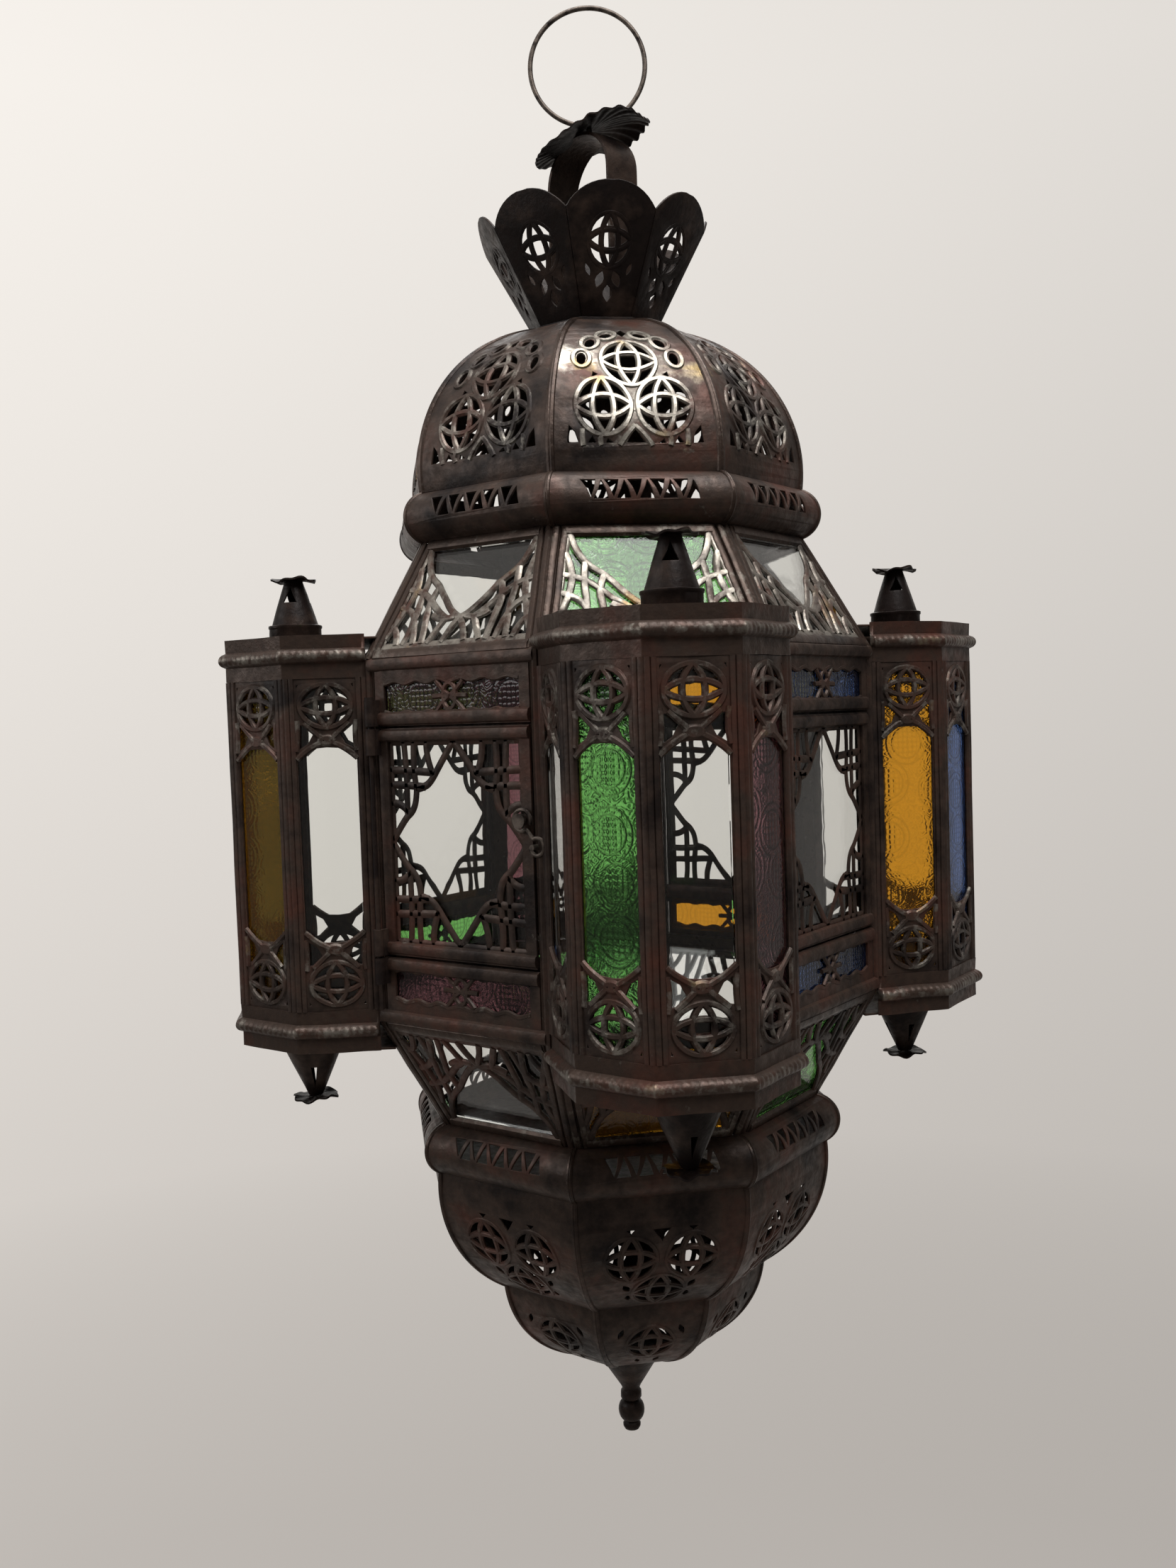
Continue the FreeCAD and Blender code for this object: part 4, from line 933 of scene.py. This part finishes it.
class LANTERN_OT_collars(Step, bpy.types.Operator):
    """Roll the two pierced collars"""

    bl_idname = "lantern.collars"
    bl_label = "Collars"

    def build(self):
        for name, edges, wear_and_sheen in (("upper_collar", UPPER_COLLAR, 0.06), ("lower_collar", LOWER_COLLAR, 0.0)):
            profile, span = swelling(*edges, COLLAR_BULGE)
            holes = zigzag(23.4, span * 0.45, span * 0.77, 10, 1.4)
            sheet = cut_rows(pierced(name, gore_outline(profile, span, 0.1, 2.0), holes), 1, span, 1.4)
            collar = spread(f"{name}_pierced", sheet, all_round(profile, -0.5), wears_and_sheen(wear_and_sheen + 0.06, wear_and_sheen))
            finish(hammer(collar, 0.3, 12.0), PATINATED, stands_for=(name,))
            add_seams(name, profile, span, 1.6, 0.0, WORN)


class LANTERN_OT_bowls(Step, bpy.types.Operator):
    """Cut and bend the pierced gores of the two bowls"""

    bl_idname = "lantern.bowls"
    bl_label = "Bowls"

    def build(self):
        strip = size("strip") * 0.8
        holes, lines = laced_circles(((0.0, 18.6), (-13.0, 39.5), (13.0, 39.5)), 11.4, strip, 1.05)
        holes += [[(-4.2, 54.2), (4.2, 54.2), (0.0, 48.0)]]
        holes += both_sides([[(10.4, 54.4), (15.6, 54.4), (13.0, 51.8)], almond(14.0, 22.6, 3.4, 6.4, -30),
                             almond(12.4, 14.0, 3.2, 5.6, -10)])
        self.gores("bowl_gores", BOWL, BOWL_BULGE, holes, lines, strip)
        holes, lines = laced_circles([(0.0, 43.0)], 10.8, strip)
        holes += both_sides([almond(13.6, 50.4, 3.0, 6.4, 20), almond(4.2, 26.4, 3.0, 6.6, -16)])
        self.gores("small_bowl_gores", SMALL_BOWL, SMALL_BOWL_BULGE, holes, lines, strip)

    def gores(self, node, edges, bulge, holes, lines, strip):
        profile, span = swelling(*edges, bulge)
        sheet = pierced(node, gore_outline(profile, span), holes)
        laces = lifted(strips(f"{node}_lace", lines, strip, 1.4), 0.3)
        add_to_layer(laces, 0.08)
        gore = cut_rows(joined(f"{node}_flat", [sheet, laces]), 1, span, 3.4)
        bowl = hammer(spread(f"{node}_pierced", gore, all_round(profile, -0.5)), size("dents"), 11.0)
        finish(bowl, PATINATED, stands_for=(node,))
        add_seams(node, profile, span, 1.8, 0.1, PATINATED)


class LANTERN_OT_spike(Step, bpy.types.Operator):
    """Turn the spike below the bowls"""

    bl_idname = "lantern.spike"
    bl_label = "Spike"

    def build(self):
        half_turn = np.linspace(0, math.pi, 11)
        ball = [(3.0 + 3.2 * math.sin(turn), 9.5 - 5.0 * math.cos(turn)) for turn in half_turn]
        profile = [(0.0, 0.0), (2.4, 0.0), (3.4, 0.3), (4.1, 1.6), (4.2, 2.8), (3.5, 4.0), *ball,
                   (4.4, 15.0), (5.0, 15.9), (5.0, 18.6), (4.4, 19.6), (4.2, 20.4), (5.2, 22.4),
                   (11.6, 32.6), (17.8, 42.0), (18.4, 42.1), (18.7, 42.4), (18.7, 42.9), (0.0, 43.0)]
        spike = hammer(raised(turned("spike_turned", profile), 0.0), 0.2, 8.0)
        finish(spike, BLACKENED, stands_for=("spike_finial",))


class LANTERN_OT_cones(Step, bpy.types.Operator):
    """Fold the ribs of both cones and solder the filigree on their panes"""

    bl_idname = "lantern.cones"
    bl_label = "Cones"

    def build(self):
        for name, edges, wide_low in (("upper_cone", UPPER_CONE, True), ("lower_cone", LOWER_CONE, False)):
            profile, span = straight(*edges)
            self.ribs(name, profile, span)
            self.filigree(name, profile, span, wide_low)

    def ribs(self, name, profile, span):
        ways = np.array((0.0, span / 2, span))
        half = profile(ways)[0] * HALF_TAN
        fold = size("fold")
        lines = mirrored([list(zip(half - offset, ways)) for offset in (1.7, 5.2)])
        ribs = strips(f"{name}_rib", lines, fold, fold * 0.8, 2)
        sills = [[(side * (half[end] - 5.0), ways[end] + nudge) for side in (-1, 1)]
                 for end, nudge in ((0, 2.0), (2, -2.0))]
        flat = joined(f"{name}_fold", [ribs, strips(f"{name}_sill", sills, 5.6, 3.6, 2)])
        folds = spread(f"{name}_folds", flat, all_round(profile, -0.4), wears_and_sheen(0.1, 0.02))
        finish(hammer(folds, 0.3, 12.0), WORN)

    def filigree(self, name, profile, span, wide_low):
        edge = profile(np.array((0.0, span)))[0] * HALF_TAN - 6.2

        def at(x, y):
            way = y if wide_low else 1 - y
            half = edge[0] + (edge[1] - edge[0]) * way
            return (x * half, 3.0 + (span - 6.0) * way)

        lattice = [
            [(0.0, 0.29), (0.1, 0.31), (0.28, 0.44), (0.5, 0.6), (0.74, 0.71), (0.9, 0.86), (0.98, 0.98)],
            [(0.2, 0.28), (0.4, 0.37), (0.58, 0.49), (0.78, 0.57), (1.0, 0.6)],
            [(0.5, 0.6), (0.57, 0.46), (0.5, 0.28), (0.44, 0.06)],
            [(0.74, 0.71), (0.75, 0.54), (0.67, 0.3), (0.7, 0.06)],
            [(1.0, 0.43), (0.82, 0.4), (0.66, 0.28), (0.56, 0.06)],
            [(1.0, 0.25), (0.88, 0.22), (0.8, 0.06)],
            [(1.0, 0.8), (0.87, 0.64), (0.89, 0.4), (1.0, 0.13)],
            [(0.0, 0.29), (0.11, 0.17), (0.15, 0.06)],
            [(0.35, 0.06), (0.27, 0.2), (0.2, 0.3)],
            [(0.08, 0.3), (0.24, 0.25), (0.42, 0.33)],
        ]
        lines = mirrored([[at(*point) for point in line] for line in lattice])
        bars = strips(f"{name}_bar", lines, 3.2, 2.0, 2)
        border = strips(f"{name}_border", [[at(-1.0, 0.03), at(0.0, 0.03), at(1.0, 0.03)]], 5.4, 1.2)
        rims = strips(f"{name}_rim", mirrored([[at(1.0, 0.02), at(1.0, 0.5), at(1.0, 0.99)]]), 2.6, 1.3)
        flat = joined(f"{name}_filigree_flat", [bars, border, rims])
        worn_and_sheen = wears_and_sheen(0.35, 0.29) if wide_low else wears_and_sheen(0.05, 0.05)
        filigree = spread(f"{name}_soldered_filigree", flat, all_round(profile, -0.45), worn_and_sheen)
        finish(hammer(filigree, 0.25, 6.0), PATINATED, stands_for=(f"{name}_filigree",))


class LANTERN_OT_body_rolls(Step, bpy.types.Operator):
    """Roll the mouldings round the body and fold its corner posts"""

    bl_idname = "lantern.body_rolls"
    bl_label = "Body mouldings"

    def build(self):
        roll = size("roll")
        post, rail = 44.4, 88.0
        lips = (DOOR_WIDTH, DOOR_FOOT + 3.0, DOOR_TOP - 3.0, roll * 0.9, roll * 0.6, -0.3)
        self.rails("body_rails_rolled", rail, BODY_FOOT + 2.4, BODY_TOP - 2.4, roll, roll * 0.8, -0.4)
        self.rails("band_lips_rolled", FACE_WIDTH, DOOR_FOOT - 4.0, DOOR_TOP + 4.0, roll, roll * 0.7, -0.3)
        self.rails("star_lips_rolled", *lips, faces=WINDOW_FACES)
        self.rails("door_lips_rolled", *lips, body="door", faces=DOOR_FACE)
        self.rails("window_stops_folded", FACE_WIDTH, DOOR_FOOT, DOOR_TOP, 7.0, 1.4, -5.4)
        posts = mirrored([[(post, height) for height in (BODY_FOOT, (BODY_FOOT + BODY_TOP) / 2, BODY_TOP)]])
        self.bars("body_posts_folded", posts, 3.4, 3.6, -0.6)

    def rails(self, name, reach, low, high, *shape, **where):
        """Lay a low and a high level bar on star faces."""
        lines = [[(x, height) for x in (-reach / 2, 0.0, reach / 2)] for height in (low, high)]
        self.bars(name, lines, *shape, **where)

    def bars(self, name, lines, width, thickness, lift, body="lantern", faces=STAR_FACES):
        """Lay rolled bars on star faces, from points of (across, height)."""
        flat = strips(name, lines, width, thickness, 2)
        bars = hammer(spread(name, flat, all_round(upright(BODY), lift, faces)), 0.25, 16.0)
        finish(bars, PATINATED, body)


class LANTERN_OT_bands(Step, bpy.types.Operator):
    """Solder the wavy edges and flowers on the glass bands"""

    bl_idname = "lantern.bands"
    bl_label = "Bands"

    def build(self):
        waves, flowers = [], []
        for middle in BAND_MIDDLES:
            waves += [[(x, middle + side * (6.6 - 0.7 * math.cos(x * math.pi / 6)))
                       for x in range(-36, 37, 2)] for side in (-1, 1)]
            flowers.append(oval(0.0, middle, 6.8, 10.8))
            petals = (((7.2, 6.2), (3.2, 1.6)), ((7.2, -6.2), (3.2, -1.6)), ((9.0, 0.0), (5.0, 0.2)))
            flowers += mirrored([[(x, middle + y) for x, y in (*petal, (0.0, 0.0))] for petal in petals])
        flat = joined("band_flat", [strips("band_wave", waves, 2.2, 1.6),
                                    strips("band_flower", flowers, 2.2, 1.8)])
        mappings = all_round(upright(BODY), -0.5, STAR_FACES)
        bands = hammer(spread("band_filigree", flat, mappings, [0.08] * len(mappings)), 0.2, 6.0)
        finish(bands, PATINATED)


class LANTERN_OT_stars(Step, bpy.types.Operator):
    """Solder the star lattice of the three windows and of the door"""

    bl_idname = "lantern.stars"
    bl_label = "Star windows"

    def build(self):
        self.window("star_lattice", FACE_WIDTH, WINDOW_FACES, "lantern", ("star_filigree",))
        self.window("door_lattice", DOOR_WIDTH, DOOR_FACE, "door", ("door_filigree",))

    def window(self, name, width, faces, body, nodes):
        margin, depth = 5.0, 1.7
        middle, tall, half = (DOOR_FOOT + DOOR_TOP) / 2, 42.0, width / 2 - margin

        def scaled(lines):
            return [[(x * half, middle + y * tall) for x, y in line] for line in lines]

        upper = mirrored([
            [(0.0, 1.0), (0.22, 0.77), (0.35, 0.62), (0.46, 0.55), (0.6, 0.53)],
            [(0.6, 0.53), (0.61, 0.42), (0.67, 0.31), (0.8, 0.24), (1.0, 0.02)],
            [(1.0, 0.72), (0.7, 0.71), (0.3, 0.69)],
            [(1.0, 0.57), (0.72, 0.57), (0.46, 0.55)],
            [(0.78, 1.0), (0.74, 0.7), (0.76, 0.28)],
            [(0.62, 1.0), (0.65, 0.74), (0.6, 0.53)],
            [(0.42, 1.0), (0.44, 0.86), (0.33, 0.66)],
            [(1.0, 0.38), (0.88, 0.41), (0.74, 0.3)],
        ])
        bars = strips(name, scaled(upper + upended(upper, 0.0)), 3.3, 1.1)
        corners = [(-1.0, -1.0), (1.0, -1.0), (1.0, 1.0), (-1.0, 1.0), (-1.0, -1.0)]
        rim = strips(f"{name}_rim", scaled(zip(corners, corners[1:])), 3.6, 1.1)
        flat = joined(f"{name}_flat", [bars, rim])
        lattice = spread(f"{name}_soldered", flat, all_round(upright(BODY - depth), 0.0, faces))
        finish(lattice, PATINATED, body, nodes)


class LANTERN_OT_turrets(Step, bpy.types.Operator):
    """Fold the faces, cornices, roofs and floors of the turrets"""

    bl_idname = "lantern.turrets"
    bl_label = "Turrets"

    def build(self):
        names = ("front_right", "back_right", "back_left", "front_left")
        filigrees, frames = ([f"{name}_turret_{kind}" for name in names] for kind in ("filigree", "frame"))
        pieces = (self.faces(), self.cornices(), self.decks())
        faces, mouldings, decks = (reshape(piece, flared) for piece in pieces)
        finish(faces, PATINATED, stands_for=filigrees)
        finish(mouldings, RUSTED, stands_for=frames, angle=50)
        finish(decks, PATINATED)
        for tint in ("clear", *TINTS):
            node, slot = f"turret_glass_{tint}", f"{tint}_glass"
            panes = reshape(placed(f"turret_panes_{tint}", frame["nodes"][node].data.copy()), flared)
            finish(panes, COATS[slot], stands_for=(node,))

    def faces(self):
        foot = TURRET_FOOT + CORNICE
        tall, half = TURRET_TOP - CORNICE - foot, TURRET * HALF_TAN - 0.1
        arch = [(-12.5, 34.4), (-9.0, 30.8), (-5.0, 29.2), (0.0, 28.8), (5.0, 29.2), (9.0, 30.8),
                (12.5, 34.4)]
        cells, lines = laced_circles([(0.0, 11.6)], 11.0, size("strip") * 0.8, 0.84)
        cells += both_sides([[(4.8, 22.4), (9.4, 19.6), (12.0, 19.2), (12.0, 30.4), (7.6, 27.6)]])
        cells += both_sides([[(10.6, 2.4), (12.0, 2.4), (12.0, 5.0)]])
        lines += mirrored([[(9.4, 18.6), (5.6, 22.0), (2.0, 25.2)], [(12.6, 33.8), (8.0, 29.4), (2.0, 26.6)],
                           [(12.4, 17.6), (11.6, 24.0), (12.6, 30.6)]])
        roses = [oval(0.0, 26.0, 4.6, 1.8, 0, 10)]
        holes = [arch + upended([arch[::-1]], tall)[0]]
        holes += cells + upended([cell[::-1] for cell in cells], tall)
        outline = [(-half, 0.0), (half, 0.0), (half, tall), (-half, tall)]
        sheet = lifted(pierced("turret_sheet", outline, holes), -0.5)
        laces = joined("turret_lace", [strips("turret_arms", lines + upended(lines, tall), 2.5, 2.0),
                                       strips("turret_rose", roses + upended(roses, tall), 3.8, 2.2)])
        add_to_layer(laces, 0.15)
        outer, inner, post = ([(x, 0.0), (x, tall / 2), (x, tall)] for x in (16.2, 13.9, 15.2))
        folds = strips("turret_fold", mirrored([outer, inner]), 2.5, 1.9, 2)
        posts = lifted(strips("turret_post", mirrored([post]), 4.2, 3.8, 2), -2.9)
        flat = joined("turret_face", [sheet, laces, folds, posts])
        mappings = [laid(azimuth + turn, upright(TURRET, foot), 0.0, turret_centre(azimuth))
                    for azimuth in TURRETS for turn in (-90, -45, 0, 45, 90)]
        return hammer(spread("turret_faces_pierced", flat, mappings), 0.25, 9.0)

    def cornices(self):
        roll = [(3.2 * math.sin(turn), ROLL_MIDDLE - 3.0 * math.cos(turn))
                for turn in np.linspace(0, math.pi, 11)[1:-1]]
        profile = [(-0.4, 0.0), (0.4, 0.0), (0.3, 6.0), *roll, (0.3, 12.4), (0.6, CORNICE), (-0.4, CORNICE)]
        sweeps = [woven_grid("cornice_sweep", 300, len(profile) - 1, self.around(azimuth, foot, profile))
                  for azimuth in TURRETS for foot in CORNICE_FEET]
        cornices = thicken(joined("turret_cornices_rolled", sweeps), 0.8 * MM, -1.0)
        add_to_layer(cornices, self.rubbing_and_highlight)
        return hammer(cornices, 0.35, 16.0)

    def rubbing_and_highlight(self, points):
        """Scuffing of the cornices, which is most along their rolls, where it also paints the highlights
        that run along them.
        """
        height = points[:, 2] / MM - FOOT
        rolls = [np.abs(height - foot - ROLL_MIDDLE) for foot in CORNICE_FEET]
        return 0.04 + 0.24 * np.exp(-(np.minimum(*rolls) / 2.4) ** 2)

    def around(self, azimuth, foot, profile):
        """Mapping that sweeps a moulding round the five open faces of a turret and closes its ends."""
        centre = turret_centre(azimuth)

        def mapping(points):
            sweep = points[:, 0] * 5
            face = np.minimum(np.floor(sweep + 0.001), 4)
            out, rise = along(profile, points[:, 1])
            way = points[:, 1] * (len(profile) - 1)
            twist = 0.08 * np.sin(FULL_TURN * (sweep * 12 + way * 0.05)) * np.clip(out - 0.4, 0.0, 1.5)
            close = np.clip(np.minimum(sweep, 5 - sweep) / 0.06, 0.0, 1.0)
            reach = TURRET + (out + twist) * close
            across = (2 * (sweep - face) - 1) * reach * HALF_TAN
            angle = np.radians(azimuth + (face - 2) * 45)
            x = centre[0] + reach * np.sin(angle) + across * np.cos(angle)
            y = centre[1] - reach * np.cos(angle) + across * np.sin(angle)
            return np.stack((x, y, foot + rise + FOOT), axis=1) * MM

        return mapping

    def decks(self):
        half, side, gap, slope = 40.6, 17.4, 0.5, 26.5 / 49.5
        corner = half * HALF_TAN
        decks = []
        for height, overhang in ((TURRET_TOP - 1.5, 11.0), (TURRET_FOOT + 0.5, 13.0)):
            back = side + (overhang - 1) * slope - gap
            outline = [(-half, -back), (half, -back), (half, corner), (corner, half), (-corner, half),
                       (-half, corner)]
            mappings = [laid(azimuth, level(height), 0.0, turret_centre(azimuth)) for azimuth in TURRETS]
            decks.append(spread("turret_decks", pierced("turret_deck", outline, []), mappings))
        return joined("turret_decks_flat", decks)


class LANTERN_OT_finials(Step, bpy.types.Operator):
    """Roll the drums, cones and flowers of the turrets"""

    bl_idname = "lantern.finials"
    bl_label = "Finials"

    def build(self):
        drum = [(0.0, 0.0), (11.3, 0.0), (11.5, 0.4), (11.5, 5.4), (11.9, 5.9), (11.9, 6.9), (11.2, 7.2),
                (9.4, 7.2), (0.0, 7.2)]
        top = [turned("finial_drum", drum), self.cone(9.9, 3.6, 7.0, 20.0, 3, 0.24), self.flower(27.6, 3)]
        low = [self.cone(15.4, 2.9, 0.0, 28.5, 4, 0.1), self.flower(29.6, 4)]
        for name, pieces, foot, flip in (("turret_top_finials", top, TURRET_TOP, False),
                                         ("turret_bottom_finials", low, TURRET_FOOT, True)):
            mappings = [stood(azimuth, FINIAL_AXIS, foot, flip) for azimuth in TURRETS]
            finials = hammer(spread(f"{name}_rolled", joined(f"{name}_flat", pieces), mappings), 0.3, 9.0)
            finish(finials, BLACKENED, stands_for=(name,))

    def cone(self, foot, head, base, tall, windows, share):
        """A rolled cone with three-cornered windows, each as wide as a share of the way to the next."""
        pitch = 24.0
        round_way = pitch * windows
        middles = [pitch * (index + 0.5) for index in range(windows)]
        holes = [[(x - pitch * share, tall * 0.5), (x + pitch * share, tall * 0.5), (x, tall * 0.88)]
                 for x in middles]
        outline = [(0.0, 0.0), (round_way, 0.0), (round_way, tall), (0.0, tall)]
        sheet = cut_rows(pierced("finial_cone", outline, holes, 0.8), 0, round_way, round_way / 40)

        def mapping(points):
            radius = foot + (head - foot) * points[:, 1] / tall + points[:, 2]
            return polar(radius, points[:, 0] / round_way * FULL_TURN, base + points[:, 1])

        return reshape(sheet, mapping)

    def flower(self, base, seed):
        """A crimped flower disc."""
        radius = size("flower")

        def mapping(points):
            turn, way = points[:, 0] * FULL_TURN, points[:, 1]
            petal = np.cos(8 * turn + seed)
            wave = (0.4 * petal + 0.8 * np.sin(3 * turn + seed) - 0.4) * way ** 2
            return polar(radius * (0.95 + 0.05 * petal) * way, turn, base + wave)

        return thicken(clean(woven_grid("finial_flower", 64, 6, mapping)), 0.8)


class LANTERN_OT_door_fittings(Step, bpy.types.Operator):
    """Bend the wire hook of the door"""

    bl_idname = "lantern.door_fittings"
    bl_label = "Door hook"

    def build(self):
        gauge = 1.7
        bends = ((LATCH_STUD, 4.2, (-20, 305, 20)), (LATCH_PEG, 3.4, (125, -165, 18)))
        wire = [(x + radius * math.cos(turn), y + radius * math.sin(turn))
                for (x, y), radius, bend in bends for turn in np.radians(np.linspace(*bend))]
        hook = strips("latch_hook_flat", [wire], gauge, gauge, 2)
        hook = spread("latch_hook_wire", hook, all_round(upright(BODY), 1.2, DOOR_FACE))
        finish(hook, WIRE, "latch", ("latch_hook",))


class LANTERN_OT_candle_cup(Step, bpy.types.Operator):
    """Turn the candle cup and its drip pan"""

    bl_idname = "lantern.candle_cup"
    bl_label = "Candle cup"

    def build(self):
        profile = [(0.0, 0.0), (23.4, 0.0), (24.0, 0.6), (23.6, 1.2), (13.6, 1.1), (13.3, 1.5), (13.3, 19.4),
                   (12.9, 20.0), (11.9, 20.0), (11.5, 19.6), (11.5, 3.0), (0.0, 3.0)]
        cup = raised(turned("candle_cup_turned", profile), CANDLE_FOOT)
        finish(cup, BLACKENED, stands_for=("candle_cup",))


class LANTERN_OT_stage(Step, bpy.types.Operator):
    """Set the pale studio, its lights and the camera"""

    bl_idname = "lantern.stage"
    bl_label = "Stage"

    def build(self):
        scene = bpy.context.scene
        scene.view_settings.view_transform = "Standard"
        self.world(scene)
        self.floor()
        self.lamps()
        self.camera(scene)

    def seen(self, nodes):
        """One where the camera, a reflection or a pane looks at the backdrop."""
        camera, pane, mirror = (nodes.add("LightPath", f"Is {kind} Ray")
                                for kind in ("Camera", "Transmission", "Glossy"))
        return nodes.math("MAXIMUM", nodes.math("MAXIMUM", camera, pane), mirror)

    def room(self, nodes, toward):
        """Colour of the pale room in a direction, darker downwards and, as painted shade, to the right, and
        its strength.

        It is less strong where a reflection looks away from the wall and the ceiling.
        """
        height = nodes.height(toward)
        toward_shaded_side = nodes.vector("DOT_PRODUCT", toward, (0.81, 0.587, 0.0), "Value")
        behind = nodes.vector("DOT_PRODUCT", toward, (-0.587, 0.81, 0.0), "Value")
        shade = nodes.ramp(nodes.fit(height, -0.5, 0.4, 0.0, 1.0),
                           [(0.0, paint("ground")), (1.0, paint("backdrop"))])
        # Painted shade: the room darkens to the right, where shadow falls on the wall
        shade = nodes.mix(1.0, shade, nodes.fit(toward_shaded_side, -0.4, 0.4, 1.0, 0.8), blend_type="MULTIPLY")
        wall, ceiling = nodes.fit(behind, 0.3, 0.95, 0.2, 1.0), nodes.fit(height, 0.5, 0.9, 0.2, 1.0)
        bright = nodes.math("MAXIMUM", wall, ceiling)
        strength = nodes.mix(nodes.add("LightPath", "Is Glossy Ray"), 1.0, bright, "FLOAT")
        return {"Color": shade, "Strength": strength}

    def world(self, scene):
        scene.world = bpy.data.worlds.new("Pale room")
        scene.world.use_nodes = True
        tree = scene.world.node_tree
        tree.nodes.clear()
        nodes = Nodes(tree)
        lit = nodes.add("Background", 0, {"Color": (1.0, 0.98, 0.95, 1.0), "Strength": 0.16})
        wall = nodes.add("Background", 0, self.room(nodes, nodes.toward))
        mix = nodes.add("MixShader", 0, {0: self.seen(nodes), 1: lit, 2: wall})
        nodes.feed(tree.nodes.new("ShaderNodeOutputWorld"), {"Surface": mix})

    def floor(self):
        bpy.ops.mesh.primitive_grid_add(x_subdivisions=8, y_subdivisions=8, size=40.0, location=(0, 0, -1.2))
        floor = bpy.context.active_object
        floor.name = "studio_floor"
        bpy.ops.object.transform_apply(location=True)
        nodes = new_material("Pale studio floor")
        nodes.coat({"Base Color": paint("ground"), "Roughness": 0.9})
        toward = nodes.vector("NORMALIZE", nodes.vector("SUBTRACT", nodes.place, EYE))
        glow = nodes.add("Emission", 0, self.room(nodes, toward))
        reach = nodes.vector("LENGTH", nodes.place, output="Value")
        share = nodes.math("MULTIPLY", self.seen(nodes), nodes.fit(reach, 1.1, 2.5, 0.6, 1.0))
        mix = nodes.add("MixShader", 0, {0: share, 1: nodes.shader.outputs[0], 2: glow})
        nodes.feed(nodes.tree.nodes["Material Output"], {"Surface": mix})
        floor.data.materials.append(bpy.data.materials["Pale studio floor"])

    def lamps(self):
        middle = Vector((0.0, 0.0, -0.33))
        for name, place, width, power in (("Ceiling", (0.1, -0.2, 1.1), 0.7, 14.0),
                                          ("Key", (0.85, -0.47, 0.95), 0.9, 16.0),
                                          ("Window", (-0.9, -1.1, 0.2), 0.9, 5.5),
                                          ("Back", (-0.9, 1.2, 0.7), 1.0, 5.0)):
            lamp = bpy.data.lights.new(name, "AREA")
            lamp.size = width
            lamp.energy = power
            item = placed(name, lamp)
            item.location = place
            item.rotation_euler = (middle - item.location).to_track_quat("-Z", "Y").to_euler()

    def camera(self, scene):
        data = bpy.data.cameras.new("Camera")
        data.sensor_fit = "HORIZONTAL"
        data.sensor_width = 36.0
        data.lens = data.sensor_width * FOCAL
        right, forward, up = spun(*EYE_TURNS).col
        scene.camera = placed("Camera", data)
        place = Matrix((right, up, -forward)).transposed().to_4x4()
        place.translation = EYE
        scene.camera.matrix_world = place


STEPS = (LANTERN_OT_finishes, LANTERN_OT_frame_nodes, LANTERN_OT_ring, LANTERN_OT_handle, LANTERN_OT_crown,
         LANTERN_OT_dome, LANTERN_OT_collars, LANTERN_OT_cones, LANTERN_OT_body_rolls, LANTERN_OT_bands,
         LANTERN_OT_stars, LANTERN_OT_turrets, LANTERN_OT_finials, LANTERN_OT_bowls, LANTERN_OT_spike,
         LANTERN_OT_door_fittings, LANTERN_OT_candle_cup, LANTERN_OT_stage)


class LANTERN_PT_pieces(bpy.types.Panel):
    """Lists the lantern's pieces and sizes"""

    bl_idname = "LANTERN_PT_pieces"
    bl_label = "Candle lantern"
    bl_space_type = "VIEW_3D"
    bl_region_type = "UI"
    bl_category = "Lantern"

    def draw(self, context):
        for step in STEPS:
            self.layout.operator(step.bl_idname)
        for group in (context.scene.lantern_sizes, context.scene.lantern_colours):
            for name in group.__annotations__:
                self.layout.prop(group, name)


CLASSES = (LanternSizes, LanternColours, *STEPS, LANTERN_PT_pieces)


def register():
    """Register the lantern's classes and properties."""
    for item in CLASSES:
        bpy.utils.register_class(item)
    bpy.types.Scene.lantern_sizes = bpy.props.PointerProperty(type=LanternSizes)
    bpy.types.Scene.lantern_colours = bpy.props.PointerProperty(type=LanternColours)


def unregister():
    """Remove the lantern's classes and properties."""
    del bpy.types.Scene.lantern_sizes
    del bpy.types.Scene.lantern_colours
    for item in reversed(CLASSES):
        bpy.utils.unregister_class(item)


def main():
    """Build the lantern step by step."""
    register()
    for step in STEPS:
        group, name = step.bl_idname.split(".")
        getattr(getattr(bpy.ops, group), name)()


if __name__ == "__main__":
    main()
